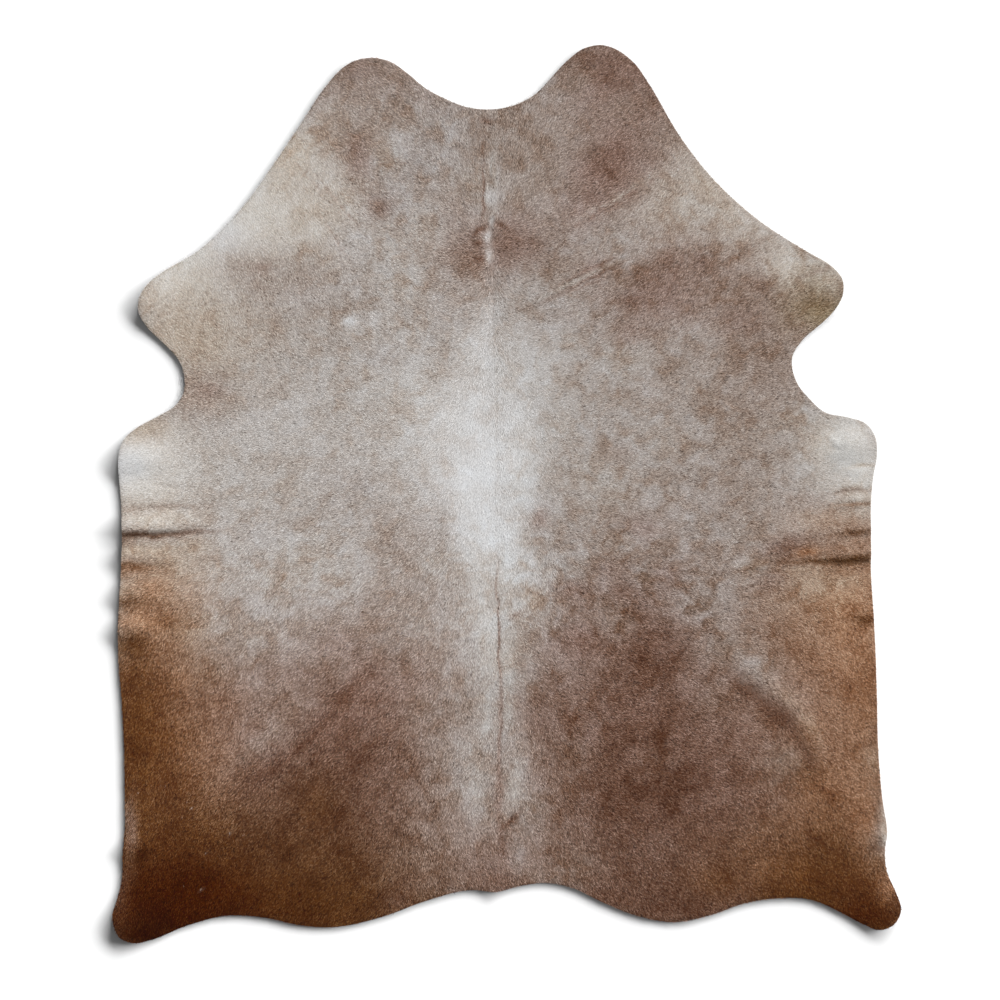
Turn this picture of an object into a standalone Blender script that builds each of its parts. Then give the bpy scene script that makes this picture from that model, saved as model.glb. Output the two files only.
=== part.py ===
"""A whole cow's hide, tanned with its hair on, lying on the floor with the hair up.

The hide is one skin and one solid: its leather and the coat of short hair that lies on it.
Its outline is two side edges, a neck edge and a rump edge, each a smooth curve through a
short table of landmarks. A four-sided patch is stretched between them. The skin lies flat
on the floor but for the folds of the flanks, the baggy elbows and the curled leg ends.

Metres, +Z up, the neck towards +Y. The origin is on the floor, at the middle of the hide's
width and length. The tables measure from the spine, and from the end of the hind legs.
"""

import bmesh
import bpy
import numpy as np

MM = 0.001

# The thickness of the leather and of the coat that lies on it.
LEATHER = 1.8 * MM
COAT = 3.8 * MM
# At the rim the hair lies down over the cut, so the coat is thinner there.
RIM_COAT = 2.2 * MM
RIM_ROUNDING = 16 * MM
# Along the spine the hair of both sides meets in a low ridge.
SPINE_RIDGE = 1.6 * MM
SPINE_HALF_WIDTH = 42 * MM
SPINE_NECK_END = 2010 * MM
SPINE_RUMP_END = 190 * MM

# Columns of the patch from rim to rim, and how much closer they stand at the rims and the
# spine than between them: 0 is evenly spaced, 1 would be no space at all.
COLUMNS = 44
COLUMN_CROWDING = 0.8
# How far in from the rump edge and the neck edge the first row of the patch runs, and how
# much of the patch's length the curves of those two edges reach into.
RIM_ROW = 9 * MM
EDGE_REACH = 0.38

# The coat's overall colour and how dull it is.
COAT_COLOUR = (0.30, 0.22, 0.16, 1.0)
COAT_ROUGHNESS = 0.62

# The two side edges, from the rump to the neck, in millimetres. A row of the patch runs
# through each pair of landmarks, and "rows" more lie between it and the next.
SIDE_EDGES = (
    # landmark, left x, left y, right x, right y, rows
    ("hind shank", -964, 16, 966, 39, 3),
    ("shank tip", -985, 66, 986, 86, 2),
    ("hock", -974, 109, 973, 129, 1),
    ("second thigh", -962, 154, 951, 179, 2),
    ("stifle pinch", -959, 214, 946, 229, 2),
    ("stifle", -954, 289, 951, 279, 2),
    ("flank hollow", -954, 384, 939, 364, 3),
    ("rear belly", -956, 496, 929, 484, 3),
    ("belly", -962, 609, 926, 615, 2),
    ("mid belly", -970, 715, 922, 735, 5),
    ("low fold", -971, 790, 917, 830, 6),
    ("third fold", -967, 870, 911, 925, 8),
    ("flank crease", -963, 945, 911, 1015, 9),
    ("top fold", -961, 1025, 911, 1105, 6),
    ("below elbow", -963, 1095, 917, 1170, 3),
    ("lower elbow", -967, 1150, 926, 1225, 3),
    ("elbow", -970, 1195, 920, 1270, 2),
    ("elbow corner", -967, 1230, 896, 1301, 2),
    ("elbow top", -956, 1260, 851, 1316, 2),
    ("inner elbow", -924, 1289, 800, 1326, 2),
    ("armpit start", -871, 1318, 757, 1362, 2),
    ("lower armpit", -826, 1346, 727, 1400, 2),
    ("armpit", -806, 1381, 714, 1439, 1),
    ("upper armpit", -806, 1424, 717, 1475, 1),
    ("inner foreleg", -821, 1461, 744, 1513, 1),
    ("foreleg", -856, 1499, 786, 1549, 1),
    ("outer foreleg", -894, 1536, 822, 1586, 2),
    ("foreleg tip", -919, 1576, 841, 1625, 2),
    ("foreleg end", -918, 1611, 839, 1660, 2),
    ("foreleg top", -899, 1645, 811, 1694, 2),
    ("point of shoulder", -864, 1675, 761, 1724, 2),
    ("shoulder", -771, 1731, 701, 1760, 3),
    ("lower neck", -676, 1821, 626, 1811, 3),
    ("mid neck", -591, 1934, 521, 1906, 3),
    ("neck", -509, 2056, 426, 2029, 2),
    ("upper neck", -454, 2139, 356, 2149, 2),
    ("cheek", -409, 2189, 314, 2206, 1),
    ("jaw", -374, 2208, 274, 2235, 1),
    ("neck lobe", -334, 2214, 234, 2246, 0),
)

# The rump edge, from the left hind shank to the right one.
RUMP_EDGE = (
    # landmark, x, y
    ("left hind shank", -964, 16),
    ("left shank sole", -929, 1),
    ("left shank heel", -889, 9),
    ("left heel hollow", -799, 45),
    ("left thigh hollow", -696, 70),
    ("left thigh", -599, 64),
    ("left buttock", -516, 46),
    ("left rump swell", -441, 41),
    ("left rump", -304, 69),
    ("left tail side", -204, 106),
    ("left of tail", -81, 134),
    ("tail nick", -29, 129),
    ("right of tail", 34, 144),
    ("tail arch", 96, 152),
    ("right tail side", 164, 139),
    ("right rump", 234, 106),
    ("right rump swell", 321, 71),
    ("right buttock", 421, 54),
    ("right thigh", 509, 71),
    ("right thigh hollow", 596, 101),
    ("right arch", 684, 114),
    ("right heel hollow", 759, 110),
    ("right shank heel", 834, 79),
    ("right shank sole", 891, 49),
    ("right shank end", 931, 32),
    ("right hind shank", 966, 39),
)

# The neck edge, from the left lobe to the right one.
NECK_EDGE = (
    # landmark, x, y
    ("left lobe", -334, 2214),
    ("left lobe end", -291, 2204),
    ("left lobe side", -246, 2174),
    ("left slope", -204, 2139),
    ("left hollow", -154, 2112),
    ("left of hollow", -99, 2091),
    ("neck hollow", -41, 2085),
    ("right of hollow", 21, 2096),
    ("right hollow", 76, 2126),
    ("right slope", 116, 2169),
    ("right lobe side", 151, 2206),
    ("right lobe end", 191, 2236),
    ("right lobe", 234, 2246),
)

# Folds, baggy places and curled ends, in millimetres and degrees. Each rises from "root"
# and dies out "length" away from it along its heading (0 is +X). Its flank towards the
# neck and its flank towards the rump are each as wide as their column says: a steep one
# is a crease.
FOLDS = (
    # fold, root x, root y, heading, length, neckward, rumpward, height
    ("left top fold", -975, 1034, 3, 270, 46, 20, 15),
    ("left second fold", -975, 960, 2, 190, 30, 28, 8),
    ("left third fold", -975, 868, 2, 160, 44, 32, 8),
    ("left low fold", -975, 782, 2, 140, 38, 36, 8),
    ("left elbow bag", -925, 1215, 4, 125, 58, 60, 11),
    ("right crease fold", 925, 974, 184, 205, 42, 23, 14),
    ("right second fold", 925, 1038, 186, 130, 22, 18, 6),
    ("right third fold", 925, 1112, 186, 160, 24, 22, 4),
    ("right low fold", 925, 820, 180, 90, 34, 24, 5),
    ("right elbow bag", 868, 1246, 200, 90, 52, 54, 12),
    ("left stifle pinch", -962, 232, 0, 80, 34, 28, 6),
    ("right stifle pinch", 955, 262, 180, 70, 38, 18, 6),
    ("left hind shank curl", -990, 20, 38, 130, 90, 90, 8),
    ("right hind shank curl", 992, 48, 145, 130, 90, 90, 8),
    ("left foreleg curl", -925, 1615, -8, 120, 95, 95, 8),
    ("right foreleg curl", 848, 1640, 190, 120, 95, 95, 8),
    ("left lobe curl", -345, 2225, -75, 110, 110, 110, 5),
    ("right lobe curl", 240, 2255, -100, 110, 110, 110, 5),
    ("tail nick pucker", -34, 122, 90, 70, 26, 26, 4),
    ("left thigh line", -470, 580, 47, 250, 52, 34, 3),
    ("right thigh line", 654, 639, -38, 150, 52, 34, 3.5),
    ("right thigh line end", 764, 516, -65, 130, 52, 34, 3.5),
)


def bell(x):
    """1 at 0, falling smoothly to exactly 0 at 1 and beyond."""
    return np.clip(1 - x**2, 0, None) ** 2


def landmarks(table):
    """The x and y columns of an edge table, in metres."""
    return np.array([row[1:3] for row in table], float) * MM


def side_landmarks():
    """The left and the right side edge's landmarks, in metres."""
    table = np.array([row[1:5] for row in SIDE_EDGES], float) * MM
    return table[:, :2], table[:, 2:]


def curve_through(points, knots, at):
    """Cubic Hermite curve through the points, which it meets at their knots.

    The tangent at a point is that of the parabola through it and its two neighbours, so
    uneven spacing makes no loops. An end point takes the straight line to its neighbour.
    """
    step = np.diff(knots)[:, None]
    chord = np.diff(points, axis=0) / step
    tangent = np.empty_like(points)
    tangent[0] = chord[0]
    tangent[-1] = chord[-1]
    tangent[1:-1] = (chord[:-1] * step[1:] + chord[1:] * step[:-1]) / (step[1:] + step[:-1])
    span = np.clip(np.searchsorted(knots, at, side="right") - 1, 0, len(knots) - 2)
    t = ((at - knots[span]) / np.diff(knots)[span])[:, None]
    width = step[span]
    return (
        (2 * t**3 - 3 * t**2 + 1) * points[span]
        + (t**3 - 2 * t**2 + t) * width * tangent[span]
        + (3 * t**2 - 2 * t**3) * points[span + 1]
        + (t**3 - t**2) * width * tangent[span + 1]
    )


def distances(points):
    """How far along the points each one is, from the first."""
    steps = np.linalg.norm(np.diff(points, axis=0), axis=1)
    return np.concatenate(([0.0], np.cumsum(steps)))


def distance_knots(points):
    """Knots from 0 to 1 that grow with the distance along the points."""
    run = distances(points)
    return run / run[-1]


def row_places():
    """The side edges' knots, and where the rows cross them: 0 at the rump, 1 at the neck."""
    left, right = side_landmarks()
    knots = (distance_knots(left) + distance_knots(right)) / 2
    rim = RIM_ROW / distances(left)[-1]
    places = [0.0, rim]
    for row, start, end in zip(SIDE_EDGES, knots[:-1], knots[1:]):
        places.extend(np.linspace(start, end, row[-1] + 2)[1:])
    places.insert(-1, 1.0 - rim)
    return knots, np.array(places)


def column_places():
    """Where the columns cross the neck and rump edges, crowded at the rims and the spine."""
    even = np.linspace(0.0, 1.0, COLUMNS + 1)
    return even - COLUMN_CROWDING * np.sin(4 * np.pi * even) / (4 * np.pi)


def plan():
    """The patch's x and y, from four edges.

    A row is a straight line between the side edges. To it is added how far the rump edge
    and the neck edge stray from the straight line between their ends, dying out away from
    them, so the first row is the rump edge and the last one the neck edge.
    """
    left, right = side_landmarks()
    rump = landmarks(RUMP_EDGE)
    neck = landmarks(NECK_EDGE)
    knots, v = row_places()
    u = column_places()
    left = curve_through(left, knots, v)[:, None]
    right = curve_through(right, knots, v)[:, None]
    rump = curve_through(rump, distance_knots(rump), u)[None]
    neck = curve_through(neck, distance_knots(neck), u)[None]
    u = u[None, :, None]
    v = v[:, None, None]
    straight = (1 - u) * left + u * right
    rump_stray = rump - straight[:1]
    neck_stray = neck - straight[-1:]
    return straight + bell(v / EDGE_REACH) * rump_stray + bell((1 - v) / EDGE_REACH) * neck_stray


def fold_height(spot):
    """How far the skin stands off the floor: the sum of the table's folds."""
    height = np.zeros(spot.shape[:-1])
    for _, x, y, heading, length, neckward, rumpward, rise in FOLDS:
        turn = np.radians(heading)
        along_axis = np.array([np.cos(turn), np.sin(turn)])
        # The fold's cross axis is turned to point at the neck.
        cross_axis = np.array([-np.sin(turn), np.cos(turn)])
        if cross_axis[1] < 0:
            cross_axis = -cross_axis
        offset = spot - np.array([x, y]) * MM
        along = offset @ along_axis / (length * MM)
        cross = offset @ cross_axis
        cross = cross / np.where(cross > 0, neckward * MM, rumpward * MM)
        height += rise * MM * bell(along) * bell(cross)
    return height


def coat_thickness(spot, rim_distance):
    """Leather and hair together: thinner at the rim, ridged along the spine."""
    inward = np.clip(rim_distance / RIM_ROUNDING, 0, 1)
    coat = RIM_COAT + (COAT - RIM_COAT) * np.sqrt(1 - (1 - inward) ** 2)
    x, y = spot[..., 0], spot[..., 1]
    middle = (SPINE_NECK_END + SPINE_RUMP_END) / 2
    reach = (SPINE_NECK_END - SPINE_RUMP_END) / 2
    ridge = SPINE_RIDGE * bell((x - spine_x(y)) / SPINE_HALF_WIDTH) * bell((y - middle) / reach)
    return LEATHER + coat + ridge


def spine_x(y):
    """The spine bends a little: from left of the middle at the neck to right at the rump."""
    return -0.012 - 0.026 * (y - 1.1) / 1.1


def rim_distances(spot):
    """Each point's distance to the nearest point of the patch's own border."""
    border = np.concatenate((spot[0], spot[-1], spot[:, 0], spot[:, -1]))
    gaps = np.linalg.norm(spot[:, :, None] - border, axis=-1)
    return gaps.min(axis=-1)


def coat_material():
    material = bpy.data.materials.new("hair coat")
    material.use_nodes = True
    shader = material.node_tree.nodes["Principled BSDF"]
    shader.inputs["Base Color"].default_value = COAT_COLOUR
    shader.inputs["Roughness"].default_value = COAT_ROUGHNESS
    shader.inputs["Metallic"].default_value = 0.0
    return material


def make_hide():
    """The underside is a bent grid, and extruding it upwards makes leather, coat and rim."""
    spot = plan()
    rows, columns = spot.shape[:2]
    underside = fold_height(spot)
    thickness = coat_thickness(spot, rim_distances(spot))
    spot = spot - (spot.min(axis=(0, 1)) + spot.max(axis=(0, 1))) / 2

    solid = bmesh.new()
    bmesh.ops.create_grid(solid, x_segments=columns - 1, y_segments=rows - 1, size=1.0)
    rise = solid.verts.layers.float.new("thickness")
    places = zip(solid.verts, spot.reshape(-1, 2), underside.ravel(), thickness.ravel())
    for vert, (x, y), z, thick in places:
        vert.co = (x, y, z)
        vert[rise] = thick
    raised = bmesh.ops.extrude_face_region(
        solid, geom=solid.faces[:] + solid.edges[:] + solid.verts[:], use_keep_orig=True
    )
    for item in raised["geom"]:
        if isinstance(item, bmesh.types.BMVert):
            item.co.z += item[rise]
    bmesh.ops.recalc_face_normals(solid, faces=solid.faces)

    mesh = bpy.data.meshes.new("hide")
    solid.to_mesh(mesh)
    solid.free()
    mesh.shade_smooth()
    mesh.materials.append(coat_material())
    hide = bpy.data.objects.new("hide", mesh)
    bpy.context.scene.collection.objects.link(hide)
    return hide


for left_over in list(bpy.data.objects):
    bpy.data.objects.remove(left_over, do_unlink=True)
make_hide()
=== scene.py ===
# %% [markdown]
# # A cow's hide with its hair on, laid as a rug
#
# The real rug is one skin: tanned leather, suede below, with its short hair left on above.
# The solid part gives its size, its outline and its folds. This lesson dresses it in two
# steps: a thin skin, cut and folded like the solid, and a coat of lying hair on top of it.
# Everything is worked out from tables: landmarks, folds, patches of colour and the way the
# hair lies.

import bpy
import numpy as np
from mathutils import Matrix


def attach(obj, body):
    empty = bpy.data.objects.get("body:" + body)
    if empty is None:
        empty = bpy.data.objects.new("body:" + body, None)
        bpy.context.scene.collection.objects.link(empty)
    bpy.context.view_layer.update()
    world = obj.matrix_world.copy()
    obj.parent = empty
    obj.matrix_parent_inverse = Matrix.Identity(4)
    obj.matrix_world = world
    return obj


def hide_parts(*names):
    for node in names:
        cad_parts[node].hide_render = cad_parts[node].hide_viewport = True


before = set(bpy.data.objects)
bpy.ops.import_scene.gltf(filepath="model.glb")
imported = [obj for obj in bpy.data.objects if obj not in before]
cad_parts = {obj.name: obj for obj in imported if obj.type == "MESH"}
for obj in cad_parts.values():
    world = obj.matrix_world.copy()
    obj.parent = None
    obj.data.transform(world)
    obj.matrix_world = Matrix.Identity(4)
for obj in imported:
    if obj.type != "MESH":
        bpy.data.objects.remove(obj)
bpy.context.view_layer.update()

MM = 0.001

# %% [markdown]
# ## The outline
#
# A hide is trimmed by eye, so no circle or rectangle gives its outline. Tracing it with a
# curve object would work, but a filled curve makes long thin faces that can't fold. Here
# four edges, each a smooth curve through landmarks such as the elbow and the hind shank,
# frame a patch of even little cells. Nearly the same landmarks shape the solid part: only
# the ends of the hind shanks are a few millimetres rounder here.

# %% The landmarks of the two side edges
SIDE_EDGES = (
    # landmark, left x, left y, right x, right y, rows
    ("hind shank", -968, 15, 965, 45, 3),
    ("shank tip", -985, 66, 986, 86, 2),
    ("hock", -974, 109, 973, 129, 1),
    ("second thigh", -962, 154, 951, 179, 2),
    ("stifle pinch", -959, 214, 946, 229, 2),
    ("stifle", -954, 289, 951, 279, 2),
    ("flank hollow", -954, 384, 939, 364, 3),
    ("rear belly", -956, 496, 929, 484, 3),
    ("belly", -962, 609, 926, 615, 2),
    ("mid belly", -970, 715, 922, 735, 5),
    ("low fold", -971, 790, 917, 830, 6),
    ("third fold", -967, 870, 911, 925, 8),
    ("flank crease", -963, 945, 911, 1015, 9),
    ("top fold", -961, 1025, 911, 1105, 6),
    ("below elbow", -963, 1095, 917, 1170, 3),
    ("lower elbow", -967, 1150, 926, 1225, 3),
    ("elbow", -970, 1195, 920, 1270, 2),
    ("elbow corner", -967, 1230, 896, 1301, 2),
    ("elbow top", -956, 1260, 851, 1316, 2),
    ("inner elbow", -924, 1289, 800, 1326, 2),
    ("armpit start", -871, 1318, 757, 1362, 2),
    ("lower armpit", -826, 1346, 727, 1400, 2),
    ("armpit", -806, 1381, 714, 1439, 1),
    ("upper armpit", -806, 1424, 717, 1475, 1),
    ("inner foreleg", -821, 1461, 744, 1513, 1),
    ("foreleg", -856, 1499, 786, 1549, 1),
    ("outer foreleg", -894, 1536, 822, 1586, 2),
    ("foreleg tip", -919, 1576, 841, 1625, 2),
    ("foreleg end", -918, 1611, 839, 1660, 2),
    ("foreleg top", -899, 1645, 811, 1694, 2),
    ("point of shoulder", -864, 1675, 761, 1724, 2),
    ("shoulder", -771, 1731, 701, 1760, 3),
    ("lower neck", -676, 1821, 626, 1811, 3),
    ("mid neck", -591, 1934, 521, 1906, 3),
    ("neck", -509, 2056, 426, 2029, 2),
    ("upper neck", -454, 2139, 356, 2149, 2),
    ("cheek", -409, 2189, 314, 2206, 1),
    ("jaw", -374, 2208, 274, 2235, 1),
    ("neck lobe", -334, 2214, 234, 2246, 0),
)
print("side landmarks, in mm from the spine and from the hind legs' end:", len(SIDE_EDGES))

# %% The landmarks of the rump edge and the neck edge
RUMP_EDGE = (
    # landmark, x, y
    ("left hind shank", -968, 15),
    ("left shank sole", -929, 1),
    ("left shank heel", -889, 9),
    ("left heel hollow", -799, 45),
    ("left thigh hollow", -696, 70),
    ("left thigh", -599, 64),
    ("left buttock", -516, 46),
    ("left rump swell", -441, 41),
    ("left rump", -304, 69),
    ("left tail side", -204, 106),
    ("left of tail", -81, 134),
    ("tail nick", -29, 129),
    ("right of tail", 34, 144),
    ("tail arch", 96, 152),
    ("right tail side", 164, 139),
    ("right rump", 234, 106),
    ("right rump swell", 321, 71),
    ("right buttock", 421, 54),
    ("right thigh", 509, 71),
    ("right thigh hollow", 596, 101),
    ("right arch", 684, 114),
    ("right heel hollow", 759, 110),
    ("right shank heel", 834, 79),
    ("right shank sole", 891, 49),
    ("right shank end", 931, 34),
    ("right hind shank", 965, 45),
)
NECK_EDGE = (
    # landmark, x, y
    ("left lobe", -334, 2214),
    ("left lobe end", -291, 2204),
    ("left lobe side", -246, 2174),
    ("left slope", -204, 2139),
    ("left hollow", -154, 2112),
    ("left of hollow", -99, 2091),
    ("neck hollow", -41, 2085),
    ("right of hollow", 21, 2096),
    ("right hollow", 76, 2126),
    ("right slope", 116, 2169),
    ("right lobe side", 151, 2206),
    ("right lobe end", 191, 2236),
    ("right lobe", 234, 2246),
)
print("rump landmarks:", len(RUMP_EDGE), "neck landmarks:", len(NECK_EDGE))

# %% [markdown]
# ## A smooth edge through landmarks
#
# A polygon through the landmarks would look cut with a ruler. A Hermite cubic keeps a
# tangent at every landmark, so two neighbouring spans meet without a corner, as a knife
# drawn round the skin leaves them.

# %% Curves and fading
def bell(x):
    """1 at 0, falling as (1 - x squared) squared to exactly 0 at 1 and beyond."""
    return np.clip(1 - x**2, 0, None) ** 2


def curve_through(points, knots, at):
    """The cubic Hermite curve that meets each point at its knot.

    A landmark's tangent is that of the parabola through it and its two neighbours. An end
    takes the tangent there of its neighbour's parabola: twice the chord less the neighbour's.
    """
    step = np.diff(knots)[:, None]
    chord = np.diff(points, axis=0) / step
    tangent = np.empty_like(points)
    tangent[1:-1] = (chord[:-1] * step[1:] + chord[1:] * step[:-1]) / (step[1:] + step[:-1])
    tangent[0] = 2 * chord[0] - tangent[1]
    tangent[-1] = 2 * chord[-1] - tangent[-2]
    span = np.clip(np.searchsorted(knots, at, side="right") - 1, 0, len(knots) - 2)
    t = ((at - knots[span]) / np.diff(knots)[span])[:, None]
    width = step[span]
    return (
        (2 * t**3 - 3 * t**2 + 1) * points[span]
        + (t**3 - 2 * t**2 + t) * width * tangent[span]
        + (3 * t**2 - 2 * t**3) * points[span + 1]
        + (t**3 - t**2) * width * tangent[span + 1]
    )


def distances(points):
    """How far along the points each one is, from the first."""
    steps = np.linalg.norm(np.diff(points, axis=0), axis=1)
    return np.concatenate(([0.0], np.cumsum(steps)))


def distance_knots(points):
    """Knots from 0 to 1 that grow with the distance along the points."""
    run = distances(points)
    return run / run[-1]


print("a bell at 0, a half and 1:", bell(np.array([0.0, 0.5, 1.0])))

# %% [markdown]
# ## The patch
#
# The patch's rows run from the left side edge to the right one, and its columns from the
# rump to the neck. Rows lie closer where the flanks fold, so the folds stay smooth while
# the whole skin stays light. The middle of the patch is moved to the middle of the floor,
# where the solid part has it.

# %% The patch's own sizes
ROWS_FINER = 1.6  # rows made for each one that the landmarks ask for
COLUMNS = 206
COLUMN_CROWDING = 0.5  # 0 would space the columns evenly
RIM_ROW = 4 * MM  # the first row and the last one hug the rim
EDGE_REACH = 0.38  # share of the length in which an end edge's own curve dies out


def row_places(left, right):
    """Knots of the side edges and the rows between them, 0 at the rump and 1 at the neck."""
    knots = (distance_knots(left) + distance_knots(right)) / 2
    rim = RIM_ROW / distances(left)[-1]
    places = [0.0, rim]
    for row, start, end in zip(SIDE_EDGES, knots[:-1], knots[1:]):
        steps = round((row[-1] + 1) * ROWS_FINER)
        places.extend(np.linspace(start, end, steps + 1)[1:])
    places.insert(-1, 1.0 - rim)
    return knots, np.array(places)


def column_places():
    """Even places from 0 to 1, less a sine wave that crowds them at the rims and spine."""
    even = np.linspace(0.0, 1.0, COLUMNS + 1)
    return even - COLUMN_CROWDING * np.sin(4 * np.pi * even) / (4 * np.pi)


def make_plan():
    """Straight rows between the side edges, plus how far the end edges stray from straight.

    The stray of the rump edge and of the neck edge dies out as a bell towards the middle.
    """
    sides = np.array([row[1:5] for row in SIDE_EDGES], float) * MM
    rump = np.array([row[1:3] for row in RUMP_EDGE], float) * MM
    neck = np.array([row[1:3] for row in NECK_EDGE], float) * MM
    knots, v = row_places(sides[:, :2], sides[:, 2:])
    u = column_places()
    left = curve_through(sides[:, :2], knots, v)[:, None]
    right = curve_through(sides[:, 2:], knots, v)[:, None]
    rump = curve_through(rump, distance_knots(rump), u)[None]
    neck = curve_through(neck, distance_knots(neck), u)[None]
    u = u[None, :, None]
    v = v[:, None, None]
    straight = (1 - u) * left + u * right
    from_rump = bell(v / EDGE_REACH) * (rump - straight[:1])
    from_neck = bell((1 - v) / EDGE_REACH) * (neck - straight[-1:])
    return straight + from_rump + from_neck


plan = make_plan()
plan_middle = (plan.min(axis=(0, 1)) + plan.max(axis=(0, 1))) / 2
print("rows and columns of corners:", plan.shape[:2], "middle of the plan:", plan_middle)

# %% [markdown]
# ## The chart
#
# The finer creases, the colours and the hair are placed on a chart: a square of 1000 steps
# of 2.5 mm, each step one pixel of the photograph. The neck is at the top, x runs to the
# right and y down towards the rump, so a place on the rug is read off as on a map.

# %% From the floor to the chart and back
STEP = 2.5 * MM
CHART_SIZE = 1000
CHART_MIDDLE = CHART_SIZE / 2
CHART_SPINE = 506.5
CHART_HIND_END = 943.5


def to_chart(spot):
    """Chart x = middle line + x / step, chart y = hind end - y / step."""
    return CHART_SPINE + spot[..., 0] / STEP, CHART_HIND_END - spot[..., 1] / STEP


def from_chart(x, y):
    """The same turned round: metres from the spine and from the hind legs' end."""
    return np.array([(x - CHART_SPINE) * STEP, (CHART_HIND_END - y) * STEP])


chart_centre = from_chart(CHART_MIDDLE, CHART_MIDDLE)
print("the chart's centre lies at", chart_centre, "metres of the plan")

# %% [markdown]
# ## Folds and creases
#
# Leather folds in soft ridges that start at the rim and die out in the skin. A cloth
# simulation would make folds too, but not these ones. So each is placed one by one: a
# ridge that fades along its length, with a flank towards the neck and one towards the
# rump. A steep flank reads as a crease. The finer creases are marked on the chart.

# %% The folds that the solid part has
FOLDS = (
    # fold, root x, root y, heading, length, neckward, rumpward, height
    ("left top fold", -975, 1034, 3, 270, 46, 20, 15),
    ("left second fold", -975, 960, 2, 190, 30, 28, 8),
    ("left third fold", -975, 868, 2, 160, 44, 32, 8),
    ("left low fold", -975, 782, 2, 140, 38, 36, 8),
    ("left elbow bag", -925, 1215, 4, 125, 58, 60, 11),
    ("right crease fold", 925, 974, 184, 205, 42, 23, 14),
    ("right second fold", 925, 1038, 186, 130, 22, 18, 6),
    ("right third fold", 925, 1112, 186, 160, 24, 22, 4),
    ("right low fold", 925, 820, 180, 90, 34, 24, 5),
    ("right elbow bag", 868, 1246, 200, 90, 52, 54, 12),
    ("left stifle pinch", -962, 232, 0, 80, 34, 28, 6),
    ("right stifle pinch", 955, 262, 180, 70, 38, 18, 6),
    ("left hind shank curl", -990, 20, 38, 130, 90, 90, 8),
    ("right hind shank curl", 992, 48, 145, 130, 90, 90, 8),
    ("left foreleg curl", -925, 1615, -8, 120, 95, 95, 8),
    ("right foreleg curl", 848, 1640, 190, 120, 95, 95, 8),
    ("left lobe curl", -345, 2225, -75, 110, 110, 110, 5),
    ("right lobe curl", 240, 2255, -100, 110, 110, 110, 5),
    ("tail nick pucker", -34, 122, 90, 70, 26, 26, 4),
    ("left thigh line", -470, 580, 47, 250, 52, 34, 3),
    ("right thigh line", 654, 639, -38, 150, 52, 34, 3.5),
    ("right thigh line end", 764, 516, -65, 130, 52, 34, 3.5),
)
print("folds in the solid part:", len(FOLDS))

# %% The finer creases, on the chart
CREASES = (
    # crease, chart x, chart y, heading, half length, half width, rise in mm
    ("left top line", 158, 508, -2, 38, 3.2, -1.2),
    ("left top line's end", 225, 502, 8, 40, 4, -0.7),
    ("left top line's tail", 290, 506, -6, 40, 4, -0.5),
    ("left elbow line", 150, 470, 20, 26, 4, -1.0),
    ("left elbow lower line", 172, 488, -8, 26, 4, -0.9),
    ("left elbow pleat", 160, 455, 35, 18, 4, 0.9),
    ("left crease", 160, 534, 1, 55, 3.4, -1.6),
    ("left second line", 158, 566, -4, 40, 4.5, -1.0),
    ("left third line", 150, 604, -6, 34, 5, -0.9),
    ("right first line", 862, 466, 4, 14, 2.2, -1.0),
    ("right upper line", 852, 491, 8, 30, 2.6, -1.2),
    ("right upper tail", 770, 489, -4, 60, 4, -0.6),
    ("right second line", 848, 503, 6, 26, 2.6, -1.2),
    ("right third line", 852, 533, 10, 30, 3.2, -1.3),
    ("right crease", 836, 562, 3, 42, 3.4, -1.8),
    ("right crease's tail", 775, 548, 30, 34, 6, -0.8),
    ("right elbow dimple", 836, 449, 10, 12, 5, -2.2),
    ("right elbow pleat", 832, 440, -40, 16, 4, 1.4),
    ("right elbow ridge", 846, 470, -12, 26, 7, 1.0),
    ("right thigh trough", 752, 692, -45, 46, 9, -1.6),
    ("right thigh trough's end", 800, 744, -62, 42, 9, -1.3),
    ("right thigh rise", 768, 684, -45, 46, 10, 1.3),
    ("left thigh trough", 345, 690, 47, 60, 8, -1.2),
    ("left thigh trough's end", 285, 752, 44, 50, 9, -1.1),
    ("right neck wrinkle", 634, 192, 30, 56, 4, -0.8),
    ("right shoulder wrinkle", 592, 276, 25, 36, 4, -0.7),
    ("right shoulder furrow", 744, 252, 28, 34, 4, -0.8),
    ("right shoulder line", 676, 272, 68, 34, 4, -0.8),
    ("right foreleg furrow", 816, 272, 22, 18, 4, -0.8),
    ("left neck wrinkle", 346, 212, -52, 46, 3, -0.7),
    ("left neck second wrinkle", 336, 240, -55, 20, 3, -0.5),
    ("left neck third wrinkle", 310, 178, -50, 26, 3, -0.5),
    ("left shoulder wrinkle", 270, 268, -40, 40, 6, -0.6),
    ("withers knot", 490, 231, 90, 18, 5, -2.0),
    ("withers left pucker", 476, 234, 70, 14, 5, 1.2),
    ("withers right pucker", 505, 240, 110, 14, 5, 1.2),
    ("neck parting", 490, 160, 90, 60, 3.5, -0.9),
    ("back parting", 493, 285, 90, 50, 3.5, -0.8),
    ("loin parting", 497, 620, 90, 80, 3.5, -0.5),
    ("rump parting", 500, 760, 90, 90, 4, -0.6),
    ("tail root furrow", 514, 822, 60, 18, 5, -1.2),
    ("right notch", 878, 849, 0, 14, 2.5, -1.6),
    ("left notch", 142, 852, -20, 14, 4, -1.4),
)
print("finer creases:", len(CREASES))

# %% The height of the skin's underside and of its creases
def axes(heading):
    """Unit arrows at the heading, (cos, sin) of it, and a quarter turn to its left."""
    turn = np.radians(heading)
    return np.array([np.cos(turn), np.sin(turn)]), np.array([-np.sin(turn), np.cos(turn)])


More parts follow.
